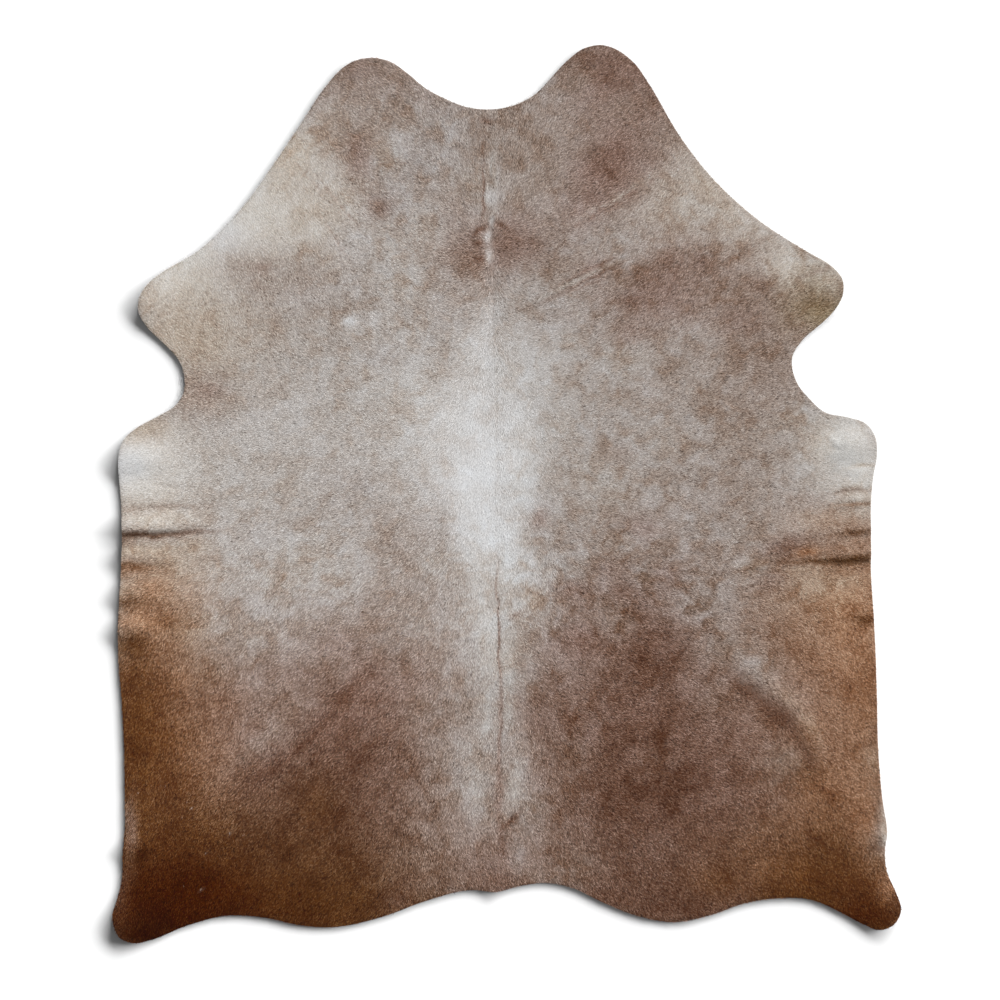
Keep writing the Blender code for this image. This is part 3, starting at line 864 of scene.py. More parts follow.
# %% The small marks and the shaded creases
SMALL_MARKS = (
    # patch, chart x, chart y, half width, half height, turn, shade, pull
    # Wrinkles and furrows: the dark lines are painted shade in them and the pale lines painted
    # light on their sides, over the creases' own shallow relief.
    ("left neck wrinkle", 345, 210, 44, 1.3, -51, "cocoa", 0.42),
    ("left neck wrinkle's light", 348, 207, 44, 1.3, -51, "ivory", 0.35),
    ("left neck second wrinkle", 336, 240, 20, 1.3, -55, "cocoa", 0.40),
    ("left neck third wrinkle", 312, 182, 26, 1.3, -50, "cocoa", 0.32),
    ("right neck wrinkle", 620, 196, 46, 2.0, 30, "sand", 0.55),
    ("right neck wrinkle's shade", 622, 199, 46, 1.4, 30, "cocoa", 0.45),
    ("right neck second wrinkle", 600, 214, 36, 1.4, 24, "cocoa", 0.35),
    ("right shoulder wrinkle", 584, 277, 42, 1.5, 25, "sand", 0.50),
    ("right shoulder wrinkle's shade", 586, 280, 42, 1.2, 25, "umber", 0.50),
    ("right shoulder second wrinkle", 590, 269, 36, 1.2, 27, "cocoa", 0.45),
    ("right shoulder third wrinkle", 580, 287, 36, 1.2, 22, "cocoa", 0.35),
    ("right shoulder furrow", 744, 252, 30, 2.4, 28, "mushroom", 0.60),
    ("right shoulder line", 676, 272, 30, 1.8, 68, "cocoa", 0.45),
    ("right foreleg furrow", 816, 272, 18, 2.4, 22, "mushroom", 0.60),
    # Left flank folds: the dark crease and the darker lines below it are painted shade in the
    # troughs and on the rumpward slopes, with some brown stain in them; the cream and tan bands
    # between them are painted light on the slopes that face the neck. The blot is a brown patch of
    # the coat.
    ("left top line", 166, 507, 46, 2.4, 2, "mushroom", 0.50),
    ("left cream band", 148, 520, 40, 7, 0, "cream", 0.60),
    ("left crease", 148, 535, 42, 3.0, 3, "sable", 0.55),
    ("left crease's tail", 190, 532, 26, 2.0, 2, "cocoa", 0.35),
    ("left crease below", 145, 550, 46, 7, 0, "tan", 0.60),
    ("left second crease", 130, 568, 30, 7, 0, "rust", 0.80),
    ("left tan band", 128, 592, 24, 8, 0, "tan", 0.36),
    ("left third crease", 130, 603, 34, 9, 5, "walnut", 0.42),
    ("left lower band", 135, 622, 30, 9, 0, "copper", 0.35),
    ("left flank blot", 168, 622, 15, 11, 0, "walnut", 0.40),
    ("left low crease", 128, 645, 26, 11, 0, "sepia", 0.58),
    ("right elbow's rim cream", 868, 478, 16, 26, 0, "cream", 0.50),
    ("right elbow's fold light", 838, 454, 18, 1.8, -12, "ivory", 0.60),
    ("right first line", 864, 466, 14, 2, 4, "tan", 0.60),
    # Right flank creases: the lines and the crease below are painted shade in the troughs, with
    # some brown stain in them.
    ("right upper line", 852, 491, 28, 2.4, 6, "mushroom", 0.60),
    ("right second line", 857, 504, 20, 2.0, 4, "rust", 0.50),
    ("right third line", 856, 533, 20, 3.0, 8, "walnut", 0.48),
    ("right brown patch", 784, 546, 22, 8, 15, "cocoa", 0.60),
    ("right crease", 848, 560, 32, 4.2, 4, "sepia", 0.70),
    ("right crease's tail", 805, 562, 22, 3, 0, "walnut", 0.50),
    ("right flank spot", 866, 620, 12, 7, 0, "walnut", 0.60),
    ("right thigh gleam", 752, 668, 24, 11, -40, "ash", 0.38),
    ("right thigh glow", 786, 698, 24, 10, -45, "tan", 0.38),
    ("right thigh arc", 747, 690, 26, 8, -38, "umber", 0.85),
    ("right thigh arc, low", 772, 713, 20, 9, -42, "umber", 0.85),
    ("right thigh arc, middle", 788, 726, 16, 7, -50, "umber", 0.60),
    ("right thigh arc, end", 805, 752, 22, 5.5, -62, "umber", 0.65),
    ("right thigh glow, low", 812, 728, 18, 6, -60, "tan", 0.45),
    ("left thigh line's light", 270, 734, 46, 9, 43, "mushroom", 0.65),
    ("left thigh line", 348, 694, 24, 7, 46, "umber", 0.85),
    ("left thigh line, middle", 307, 741, 44, 4.4, 44, "umber", 0.95),
    ("left thigh line, low", 266, 772, 26, 5.5, 44, "umber", 0.85),
    ("neck's first knot", 486, 121, 6, 3, 0, "cocoa", 0.50),
    ("neck line, high", 484, 146, 1.1, 12, 0, "rose brown", 0.45),
    ("neck strip", 493, 166, 4.5, 26, 0, "silver", 0.60),
    ("neck strip, low", 491, 204, 9, 15, 0, "silver", 0.38),
    ("neck line", 484, 190, 1.1, 26, 0, "cocoa", 0.75),
    ("withers knot", 482, 230, 10, 3.0, 30, "umber", 0.95),
    ("withers knot's right", 500, 227, 9, 3.0, -30, "umber", 0.75),
    ("withers spot", 480, 245, 5, 2.6, 0, "umber", 0.80),
    ("withers second spot", 480, 260, 4, 3, 0, "umber", 0.60),
    ("withers strip's top", 491, 222, 3, 6, 0, "pearl", 0.70),
    ("withers strip", 489, 238, 4.4, 9, 0, "white", 0.80),
    ("withers strip, low", 489, 256, 4.6, 8, 0, "white", 0.80),
    ("back line", 497, 380, 1.2, 110, 0, "silver", 0.50),
    ("withers left brown", 466, 250, 20, 14, 0, "cocoa", 0.22),
    ("withers right brown", 518, 244, 24, 13, -12, "cocoa", 0.35),
    ("loin strip left", 488, 634, 9, 36, 2, "pearl", 0.90),
    ("loin strip right", 505, 594, 6, 36, 2, "pearl", 0.60),
    ("loin strip's middle", 497, 663, 12, 12, 0, "pearl", 0.60),
    ("loin strip right, low", 507, 662, 9, 24, 0, "pearl", 0.90),
    ("loin streak", 517, 614, 9, 2.5, 15, "rose brown", 0.40),
    ("rump strip left", 487, 704, 8, 26, 0, "silver", 0.70),
    ("rump strip right", 507, 706, 7, 26, 0, "silver", 0.80),
    ("rump gleam", 487, 727, 4, 7, 0, "pearl", 0.60),
    ("rump left column", 477, 780, 11, 30, 0, "silver", 0.60),
    ("rump right column", 514, 786, 9, 22, -12, "silver", 0.65),
    ("rump middle brown", 498, 796, 4, 26, 0, "rose brown", 0.65),
    ("loin line", 498, 634, 1.4, 54, 1.2, "cocoa", 0.62),
    ("rump line", 500, 745, 1.8, 62, 0, "rose brown", 0.65),
    ("tail root streak", 510, 821, 11, 3.4, 45, "umber", 0.85),
    ("tail root streak's foot", 502, 840, 3, 16, 0, "umber", 0.50),
    ("tail root pale", 516, 852, 8, 18, 0, "dove", 0.50),
    ("left hock wedge", 132, 830, 6, 34, 0, "rose brown", 0.60),
    ("left hock line", 142, 853, 5, 10, -40, "black brown", 0.60),
    ("right hock wedge", 884, 828, 4, 22, 0, "cream", 0.70),
    ("right hock line", 878, 849, 8, 2, 0, "umber", 0.60),
    ("shoulder scar", 350, 322, 8, 5.0, 0, "white", 0.75),
    ("left neck spot", 357, 150, 11, 14, 20, "cocoa", 0.50),
    ("left neck second spot", 380, 208, 12, 10, 0, "cocoa", 0.45),
    ("right neck spot", 614, 150, 14, 11, 20, "cocoa", 0.45),
    ("right neck second spot", 592, 196, 12, 8, -20, "umber", 0.40),
    ("right shoulder spot", 628, 300, 14, 10, 0, "cocoa", 0.45),
    ("right shoulder second spot", 668, 258, 12, 9, 30, "cocoa", 0.45),
    ("right shoulder third spot", 700, 262, 9, 8, 0, "cocoa", 0.40),
    ("right foreleg spot", 760, 286, 12, 8, -20, "cocoa", 0.35),
    ("right back spot", 540, 517, 8, 10, 0, "cocoa", 0.35),
    ("right loin spot", 572, 590, 13, 9, 0, "cocoa", 0.40),
    ("right rib spot", 618, 455, 13, 11, 0, "mushroom", 0.65),
    ("left shoulder spot", 262, 268, 9, 7, 0, "cocoa", 0.30),
    ("left armpit spot", 212, 390, 14, 8, 0, "cocoa", 0.35),
)
FLECKS = (
    # chart x, chart y of a single white hair
    (375, 100), (383, 102), (161, 784), (165, 786), (187, 802), (192, 808), (184, 818),
    (206, 852), (183, 885), (202, 889), (230, 832), (246, 834), (137, 792), (808, 773),
)
print("small marks:", len(SMALL_MARKS), "flecks:", len(FLECKS))

# %% From the patches to a colour
WARP, WARP_CELL = 9.0, 26  # how far large patches stray and the noise's cell, in steps
FINE_WARP, FINE_WARP_CELL = 2.0, 11  # the same for touches and small marks
FLECK, FLECK_PULL = 0.8, 0.7  # a white hair's half width in steps, and its pull


def patch_pull(x, y, patch):
    """pull * exp(-(across / half width)^2 - (down / half height)^2), turned by its turn."""
    _, middle_x, middle_y, half_width, half_height, turn, _, pull = patch
    turn = np.radians(turn)
    right, up = x - middle_x, middle_y - y
    across = (right * np.cos(turn) + up * np.sin(turn)) / half_width
    down = (up * np.cos(turn) - right * np.sin(turn)) / half_height
    return pull * np.exp(-(across**2) - down**2)


def strayed(x, y, reach, cell, seeds):
    """Chart places moved by reach times one soft noise in x and by another in y."""
    moved_x = x + reach * soft_noise(x, y, cell, seeds[0])
    moved_y = y + reach * soft_noise(x, y, cell, seeds[1])
    return moved_x, moved_y


def paint(colour, place, patches):
    """For each patch in turn, colour = colour + pull * (shade - colour), in place."""
    for patch in patches:
        shade = np.array(SHADES[patch[-2]])
        colour += patch_pull(*place, patch)[..., None] * (shade - colour)


def coat_colour(x, y):
    """Screen colour from 0 to 1 at chart places: taupe, pulled by patch after patch."""
    colour = np.empty(x.shape + (3,))
    colour[:] = SHADES["taupe"]
    flecks = tuple(("", *place, FLECK, FLECK, 0, "white", FLECK_PULL) for place in FLECKS)
    paint(colour, strayed(x, y, WARP, WARP_CELL, (2, 3)), WIDE_PATCHES + MARKINGS)
    fine_place = strayed(x, y, FINE_WARP, FINE_WARP_CELL, (6, 9))
    paint(colour, fine_place, TOUCHES + SMALL_MARKS + flecks)
    return colour / 255


def to_linear(screen):
    """The screen's colour curve undone: ((c + 0.055) / 1.055)^2.4, or c / 12.92 if dark."""
    screen = np.clip(screen, 0, 1)
    return np.where(screen > 0.04045, ((screen + 0.055) / 1.055) ** 2.4, screen / 12.92)


plan_colour = coat_colour(chart_x, chart_y)
print("darkest and palest channel of the coat:", plan_colour.min(), plan_colour.max())

# %% [markdown]
# ## Roan: silver and brown side by side
#
# Seen close, a roan coat is never one colour. Silver locks lie among brown ones, in clouds
# of several sizes. Painting each cloud would never end. So every place is pushed towards
# silver or towards brown by blotches of several sizes, stronger on the thighs, shoulders
# and neck than on the left flank. Every lock is then pushed by its own luck too, most where
# silver and brown are even, and a little oftener far into the dark, as painted shade of the
# gaps between hairs.

# %% Blotches, luck, roots and tips
BLOTCHES = (
    # cell of the noise in chart steps, strength
    (46, 0.16),
    (22, 0.34),
    (11, 0.36),
    (5, 0.22),
    (2.2, 0.13),
)
FIRST_BLOTCH_SEED = 10
WAVER, WAVER_CELL = 6.0, 9  # how far blotches stray and the noise's cell, in steps
MOTTLED_PARTS = (
    # part, chart x, chart y, half width, half height, turn, no shade, more by
    ("right haunch", 660, 740, 150, 120, 0, "", 0.5),
    ("right shoulder", 660, 280, 110, 60, 0, "", 0.2),
    ("left neck", 370, 180, 50, 60, 0, "", 0.2),
    ("right loin", 640, 600, 120, 60, 0, "", 0.6),
    ("left haunch", 330, 780, 110, 90, 0, "", 0.15),
    ("left barrel", 280, 440, 170, 120, 0, "", -0.52),
    ("left neck cream", 238, 222, 70, 60, 0, "", -0.75),
    ("left shoulder", 190, 300, 70, 60, 0, "", -0.3),
    ("right neck cream", 730, 200, 60, 40, -45, "", -0.4),
    ("left elbow", 138, 468, 60, 60, 0, "", -0.70),
    ("right elbow", 850, 460, 50, 60, 0, "", -0.75),
    ("back", 490, 420, 90, 140, 0, "", -0.55),
    ("loin and rump stripe", 496, 660, 34, 130, 0, "", -0.6),
)
LEAST_MOTTLE = 0.15
PALE_PUSH = np.array([0.17, 0.23, 0.29])  # of red, green and blue, towards silver
BROWN_PUSH = np.array([0.21, 0.31, 0.39])  # and towards brown
LEAST_COLOUR = 0.3
SELF_SHADE = 0.70  # the light that hairs let through to each other
GLOSS = 0.002  # what the sheen of the hair adds
PALEST = 0.92


def blotches(x, y):
    """The sum of soft noises, each at its own cell and strength, at wavering places."""
    place = strayed(x, y, WAVER, WAVER_CELL, (7, 8))
    total = np.zeros(x.shape)
    for seed, (cell, share) in enumerate(BLOTCHES, FIRST_BLOTCH_SEED):
        total += share * soft_noise(*place, cell, seed)
    return total


def mottle(x, y):
    """How strongly a place is mottled: 1 plus the pulls of the parts in the table."""
    strength = np.ones(x.shape)
    for part in MOTTLED_PARTS:
        strength += patch_pull(x, y, part)
    return np.clip(strength, LEAST_MOTTLE, None)


def own_colour(screen):
    """Linear colour before the hairs shade each other: (linear - gloss) / self shade."""
    return np.clip((to_linear(screen) - GLOSS) / SELF_SHADE, 0, PALEST)


def roan(colour, push):
    """Pushes a colour up towards silver where push is above 0 and down to brown below it."""
    push = push[:, None]
    pale, brown = np.clip(push, 0, None), np.clip(push, None, 0)
    return colour * np.clip(1 + pale * PALE_PUSH + brown * BROWN_PUSH, LEAST_COLOUR, None)


chart_blotches = blotches(chart_x, chart_y)
print(f"the blotches run from {chart_blotches.min():.2f} to {chart_blotches.max():.2f}")

# %% [markdown]
# ## The skin
#
# The skin is one closed sheet: the underside lies on the floor or lifts in the folds, the
# top follows it a few millimetres higher, and a band of quads closes the cut rim. Solidify
# could thicken a flat sheet, but here the coat's thickness changes from place to place, so
# both layers are worked out together.

# %% Making a mesh from arrays
COLOUR_LAYER = "hair colour"
BAKE_MAP = "OFBake"


def make_mesh(name, points, faces):
    """A mesh object whose faces all have as many corners as the array has columns."""
    sides = faces.shape[1]
    mesh = bpy.data.meshes.new(name)
    mesh.vertices.add(len(points))
    mesh.vertices.foreach_set("co", points.astype(np.float32).ravel())
    mesh.loops.add(faces.size)
    mesh.loops.foreach_set("vertex_index", faces.astype(np.int32).ravel())
    mesh.polygons.add(len(faces))
    mesh.polygons.foreach_set("loop_start", np.arange(0, faces.size, sides, dtype=np.int32))
    mesh.update(calc_edges=True)
    mesh.shade_smooth()
    piece = bpy.data.objects.new(name, mesh)
    bpy.context.scene.collection.objects.link(piece)
    return piece


def give_colour(piece, linear):
    """Stores one colour for each corner point, as the shader's linear values."""
    rgba = np.ones((len(linear), 4), np.float32)
    rgba[:, :3] = linear
    layer = piece.data.color_attributes.new(COLOUR_LAYER, "FLOAT_COLOR", "POINT")
    layer.data.foreach_set("color", rgba.ravel())


def give_flat_map(piece, place):
    """The map that the finish is baked to: each face corner takes its point's place on it."""
    point_of = np.empty(len(piece.data.loops), np.int32)
    piece.data.loops.foreach_get("vertex_index", point_of)
    layer = piece.data.uv_layers.new(name=BAKE_MAP)
    layer.data.foreach_set("uv", place[point_of].astype(np.float32).ravel())


print("helpers are ready")

# %% The skin's layers and its rim
THINNEST = 0.5  # share of the leather that the deepest crease leaves


def skin_top(spot, to_rim):
    """Folds + leather + matted hair, rounded at the rim, + creases, which start there at 0."""
    smooth = fold_height(spot) + LEATHER + MATTED * rounded(to_rim)
    return smooth + crease_height(spot) * inward_share(to_rim)


def skin_points(spot, to_rim):
    """The underside at the folds' height, and the top, kept the thinnest leather above it."""
    under = fold_height(spot)
    top = np.maximum(skin_top(spot, to_rim), under + LEATHER * THINNEST)
    flat = spot - plan_middle
    lower = np.concatenate((flat, under[..., None]), axis=-1)
    upper = np.concatenate((flat, top[..., None]), axis=-1)
    return lower, upper


def sheet_faces(rows, columns):
    """Quads of the top, then of the underside turned over, then of the rim band."""
    corner = np.arange(rows * columns).reshape(rows, columns)
    a, b = corner[:-1, :-1].ravel(), corner[:-1, 1:].ravel()
    c, d = corner[1:, 1:].ravel(), corner[1:, :-1].ravel()
    top = np.stack((a, b, c, d), axis=1) + rows * columns
    bottom = np.stack((d, c, b, a), axis=1)
    loop = np.concatenate((corner[0, :-1], corner[:-1, -1], corner[-1, :0:-1], corner[:0:-1, 0]))
    after = np.roll(loop, -1)
    rim = np.stack((loop, after, after + rows * columns, loop + rows * columns), axis=1)
    return top, bottom, rim


lower, upper = skin_points(plan, rim_gaps)
top_faces, bottom_faces, rim_faces = sheet_faces(*plan.shape[:2])
skin = make_mesh(
    "skin",
    np.concatenate((lower.reshape(-1, 3), upper.reshape(-1, 3))),
    np.concatenate((top_faces, bottom_faces, rim_faces)),
)
print("skin quads:", len(skin.data.polygons))

# %% The skin's colours and maps
# Painted shade: the matted hair under the locks is coloured this share as bright as them, for the
# shade the locks cast on it.
UNDERCOAT_PAINTED_SHADE = 0.82  # matted hair is this share as bright as the locks over it
HIDDEN_GREY = 0.5  # for the underside, whose finish doesn't read it
MAP_HALF = (0.49, 0.98)
LEFT_CORNER, RIGHT_CORNER = (0.005, 0.01), (0.505, 0.01)

below = np.full((plan[..., 0].size, 3), HIDDEN_GREY)
skin_push = (chart_blotches * mottle(chart_x, chart_y)).ravel()
above = roan(plan_colour.reshape(-1, 3), skin_push) * UNDERCOAT_PAINTED_SHADE
give_colour(skin, own_colour(np.concatenate((below, above))))

# The top takes the left half of the map and the underside the right half.
box_low = plan.min(axis=(0, 1))
box_size = plan.max(axis=(0, 1)) - box_low
across_box = ((plan - box_low) / box_size).reshape(-1, 2) * MAP_HALF
give_flat_map(skin, np.concatenate((across_box + RIGHT_CORNER, across_box + LEFT_CORNER)))

COAT_SIDE, SUEDE_SIDE = 0, 1
sides = np.full(len(skin.data.polygons), SUEDE_SIDE, np.int32)
sides[: len(top_faces)] = COAT_SIDE
skin.data.polygons.foreach_set("material_index", sides)
print("quads that show hair:", len(top_faces))

# %% [markdown]
# ## Which way the hair lies
#
# On a living animal hair points away from the wind: out from the spine and back towards
# the tail, and on the neck it turns forward and out. Combing a particle system would give
# this by hand. Here a table of arrows on the chart does it, and each hair takes the average
# of the arrows round it, the near ones counting most.

# %% The hair's arrows
HAIR_ARROWS = (
    # place, chart x, chart y, heading
    ("left lobe", 370, 95, 150),
    ("right lobe", 605, 85, 35),
    ("neck middle", 490, 130, 92),
    ("left neck rim", 305, 190, 122),
    ("left neck", 370, 210, 145),
    ("left crest", 440, 200, 168),
    ("right crest", 545, 205, 8),
    ("right neck", 615, 210, 32),
    ("right neck rim", 690, 200, 48),
    ("left shoulder rim", 210, 280, 112),
    ("left foreleg", 165, 310, 150),
    ("left shoulder", 300, 290, 128),
    ("left withers", 430, 290, 158),
    ("withers crown", 491, 204, 92),
    ("withers", 491, 252, -90),
    ("right withers", 555, 290, 16),
    ("right shoulder", 660, 280, 46),
    ("right shoulder rim", 745, 260, 34),
    ("right foreleg", 815, 290, 18),
    ("left ribs", 400, 380, 155),
    ("left flank", 250, 420, 178),
    ("left elbow", 140, 460, 180),
    ("left loin", 370, 500, 190),
    ("left flank fold", 150, 540, 188),
    ("back", 490, 420, -90),
    ("right ribs", 590, 380, 12),
    ("right flank", 740, 400, 4),
    ("right elbow", 850, 450, -5),
    ("right loin", 620, 510, -8),
    ("right flank fold", 845, 550, -14),
    ("loin", 492, 600, -92),
    ("left hip", 400, 610, 218),
    ("left stifle", 210, 630, 232),
    ("left belly rim", 130, 690, 246),
    ("left haunch", 350, 730, 228),
    ("left thigh", 250, 830, 234),
    ("left hind leg", 140, 890, 252),
    ("rump", 494, 780, -92),
    ("right hip", 560, 650, -28),
    ("right stifle", 720, 660, -20),
    ("right belly rim", 855, 650, -46),
    ("right haunch", 640, 760, -20),
    ("right rear rim", 850, 770, -42),
    ("right buttock", 560, 850, -58),
    ("right thigh", 700, 860, -46),
    ("right hind leg", 855, 895, -58),
)
ARROW_REACH = 46.0
FAR_WEIGHT = 1e-9  # even a far arrow counts a little, so that no sum is nothing


def hair_heading(x, y):
    """The arrows' sum, each weighed by exp(-(distance / reach)^2 / 2), made one unit long."""
    total = np.zeros(x.shape + (2,))
    for _, arrow_x, arrow_y, heading in HAIR_ARROWS:
        near = np.exp(-((x - arrow_x) ** 2 + (y - arrow_y) ** 2) / ARROW_REACH**2 / 2)
        total += (near + FAR_WEIGHT)[..., None] * axes(heading)[0]
    return total / np.linalg.norm(total, axis=-1, keepdims=True)


middle_heading = hair_heading(*np.full((2, 1), CHART_MIDDLE))
print("arrows:", len(HAIR_ARROWS), "and the hair of the back points to", middle_heading)

# %% [markdown]
# ## The hairs
#
# The rug's look comes from its hair: short, straight, lying at a low angle, each lock over
# the root of the next, so light catches thousands of little tips. Blender's hair curves
# would show this only in its own renderer. Real meshes travel everywhere, so each lock is
# a narrow pointed roof of two triangles, and all locks of a quarter are one mesh.

# %% Where the locks are rooted
LOCKS_PER_M2 = 113000
SPREAD_A, SPREAD_B = 0.754877666, 0.569840291  # steps that fill a square evenly

scatter = np.random.default_rng(SEED)


def cell_corners(grid):
    """The values at the four corners of each of the patch's cells."""
    values = grid.reshape(grid.shape[0], grid.shape[1], -1)
    around = (values[:-1, :-1], values[:-1, 1:], values[1:, 1:], values[1:, :-1])
    return [corner.reshape(-1, values.shape[2]) for corner in around]


def scatter_roots():
    """Locks in each cell = its area x density; their places in it step by the two spreads."""
    p, q, r, s = cell_corners(plan)
    one, two = r - p, s - q
    area = np.abs(one[:, 0] * two[:, 1] - one[:, 1] * two[:, 0]) / 2
    count = np.floor(area * LOCKS_PER_M2 + scatter.random(len(area))).astype(int)
    cell = np.repeat(np.arange(len(area)), count)
    number = np.arange(len(cell)) - np.repeat(np.cumsum(count) - count, count)
    start = scatter.random((len(area), 2))[cell]
    a = ((start[:, 0] + number * SPREAD_A) % 1)[:, None]
    b = ((start[:, 1] + number * SPREAD_B) % 1)[:, None]
    weights = ((1 - a) * (1 - b), a * (1 - b), a * b, (1 - a) * b)
    spot = sum(w * c[cell] for w, c in zip(weights, (p, q, r, s)))
    arrow = sum(w * c[cell] for w, c in zip(weights, cell_corners(rim_arrows)))
    return spot, arrow


roots, root_arrows = scatter_roots()
print("locks:", len(roots))

# %% How each lock lies
LOCK_LENGTH = 5.8 * MM
LENGTHS = (0.65, 1.3)  # shares of it
TUFTS = (
    # degrees that the tufts sway, their cell in chart steps, seed
    (10, 3.2, 4),
    (9, 11, 5),
)
LOCK_SWAY = 16  # degrees that single locks sway
OVERHANG = 1.2 * MM
LEAST_GAP = 0.1 * MM
LEAST_OUTWARD = 0.12  # a lock that runs along the rim keeps its length
SLOPE_STEP = 1.5 * MM


def lock_frames(spot, to_rim, heading):
    """Root on the skin, the skin's normal there, the heading laid in it, and the side."""
    base = skin_top(spot, to_rim)
    east = (skin_top(spot + (SLOPE_STEP, 0), to_rim) - base) / SLOPE_STEP
    north = (skin_top(spot + (0, SLOPE_STEP), to_rim) - base) / SLOPE_STEP
    normal = np.stack((-east, -north, np.ones_like(base)), axis=1)
    normal /= np.linalg.norm(normal, axis=1, keepdims=True)
    climb = east * heading[:, 0] + north * heading[:, 1]
    along = np.stack((heading[:, 0], heading[:, 1], climb), axis=1)
    along /= np.linalg.norm(along, axis=1, keepdims=True)
    side = np.cross(normal, along)
    root = np.concatenate((spot - plan_middle, base[:, None]), axis=1)
    return root, normal, along, side


count = len(roots)
lock_x, lock_y = to_chart(roots)
gap = np.linalg.norm(root_arrows, axis=1)
sway = sum(most * soft_noise(lock_x, lock_y, cell, seed) for most, cell, seed in TUFTS)
turn = np.radians(sway + scatter.normal(0, LOCK_SWAY, count))
flow = hair_heading(lock_x, lock_y)
heading = np.stack(
    (
        flow[:, 0] * np.cos(turn) - flow[:, 1] * np.sin(turn),
        flow[:, 0] * np.sin(turn) + flow[:, 1] * np.cos(turn),
    ),
    axis=1,
)
length = LOCK_LENGTH * scatter.uniform(*LENGTHS, count)
outward = (heading * root_arrows).sum(axis=1) / np.maximum(gap, LEAST_GAP)
room = (gap + OVERHANG) / np.maximum(outward, LEAST_OUTWARD)
print(f"locks shortened at the rim: {(room < length).sum()}")
length = np.minimum(length, room)
root, normal, along, side = lock_frames(roots, gap, heading)

# %% The locks as roofs of two triangles
LIFTS = (0.55, 1.15)  # tips rise by these shares of the depth over the matted hair
LEAST_LIFT = 0.3  # share of its rise that even the shortest lock keeps
LOCK_WIDTH = 1.5 * MM
WIDTHS = (0.7, 1.25)  # shares of it
TIP_BEND = 0.8 * MM
LOCK_RIDGE = 0.40 * MM
LOCK_SINK = 0.35 * MM
LOWEST_HAIR = 0.4 * MM


def lock_points():
    """Left root, right root, ridge root and tip of every lock, in that order."""
    lift = coat_depth(roots, gap) - MATTED * inward_share(gap)
    rise = lift * scatter.uniform(*LIFTS, count)
    rise *= np.clip(length / LOCK_LENGTH, LEAST_LIFT, 1)
    width = LOCK_WIDTH * scatter.uniform(*WIDTHS, count) / 2
    sink = normal * LOCK_SINK
    half = side * width[:, None]
    tip_bend = side * scatter.normal(0, TIP_BEND, count)[:, None]
    left = root + half - sink
    right = root - half - sink
    ridge = root + normal * LOCK_RIDGE
    tip = root + along * length[:, None] + normal * rise[:, None] + tip_bend
    corners = np.stack((left, right, ridge, tip), axis=1)
    corners[..., 2] = np.maximum(corners[..., 2], LOWEST_HAIR)
    return corners


locks = lock_points()
print("highest tip, in mm:", locks[:, 3, 2].max() / MM)

# %% The colour of each lock
LUCK = 0.13
ALL_BROWN, ALL_PALE = 0.10, 0.88  # how light a coat of one kind of hair is
FEWEST, MOST = 0.02, 0.98  # shares of pale hairs
BROWN_LUCK, PALE_CALM = 2.2, 1.85
MOST_LUCK = 0.56  # share of the lock's own light
EVEN_LIFT = 0.6
# Painted shade: the luck leans this far to the dark, as the gaps between hairs are shaded.
DARK_LEAN = 0.2
# Painted shade at each lock's root corners, painted light on its ridge and tip.
ROOT_SHADE, RIDGE_LIGHT, TIP_LIGHT = 0.80, 0.95, 1.10


def lucky(colour):
    """Each lock paler or darker by luck x 2 sqrt(p (1 - p)) (brown luck - calm x p).

    p is the lock's pale share. The luck leans to the dark side as painted shade of the gaps
    between hairs, and a small lift keeps the mean where the screen's curve would move it.
    """
    light = colour.mean(axis=1, keepdims=True)
    pale = np.clip((light - ALL_BROWN) / (ALL_PALE - ALL_BROWN), FEWEST, MOST)
    spread = LUCK * 2 * np.sqrt(pale * (1 - pale)) * (BROWN_LUCK - PALE_CALM * pale)
    spread = np.minimum(spread, MOST_LUCK * light)
    lift = EVEN_LIFT * spread**2 / np.maximum(colour, spread)
    luck = scatter.normal(0, 1, light.shape)
    luck -= DARK_LEAN * (luck**2 - 1)
    return np.clip(colour - lift + spread * luck, 0, 1)


push = blotches(lock_x, lock_y) * mottle(lock_x, lock_y)
lock_colour = lucky(roan(coat_colour(lock_x, lock_y), push))
corner_light = np.array([ROOT_SHADE, ROOT_SHADE, RIDGE_LIGHT, TIP_LIGHT])
corner_colour = own_colour(lock_colour[:, None] * corner_light[None, :, None])
print("mean colour of the coat:", (lock_colour.mean(axis=0) * 255).round())

# %% The four quarters of the coat
from_spine = roots[:, 0] - spine_x(roots[:, 1])
left_half = from_spine < np.median(from_spine)
quarters = []
for side_name, on_side in (("left", left_half), ("right", ~left_half)):
    waist = np.median(roots[on_side, 1])
    quarters.append((f"coat_{side_name}_rump", on_side & (roots[:, 1] < waist)))
    quarters.append((f"coat_{side_name}_neck", on_side & (roots[:, 1] >= waist)))

ROOF = np.array([[0, 2, 3], [1, 3, 2]])  # left root, ridge, tip; right root, tip, ridge

coats = []
for name, chosen in quarters:
    points = locks[chosen].reshape(-1, 3)
    first = np.arange(0, len(points), 4)[:, None, None]
    coat = make_mesh(name, points, (first + ROOF[None]).reshape(-1, 3))
    give_colour(coat, corner_colour[chosen].reshape(-1, 3))
    low = points[:, :2].min(axis=0)
    size = points[:, :2].max(axis=0) - low
    give_flat_map(coat, (points[:, :2] - low) / size)
    coats.append(coat)
    print(name, "triangles:", len(coat.data.polygons))

# %% [markdown]
# ## Finishes
#
# Hair is dull across and has a soft gloss along it, and fine streaks of tone. The suede
# below is dry split leather. Both are mixed from noise on the object's own coordinates, so
# they stay put when the rug is moved, and need no picture.

# %% Node helpers
NOISE_LOW, NOISE_HIGH = 0.3, 0.7


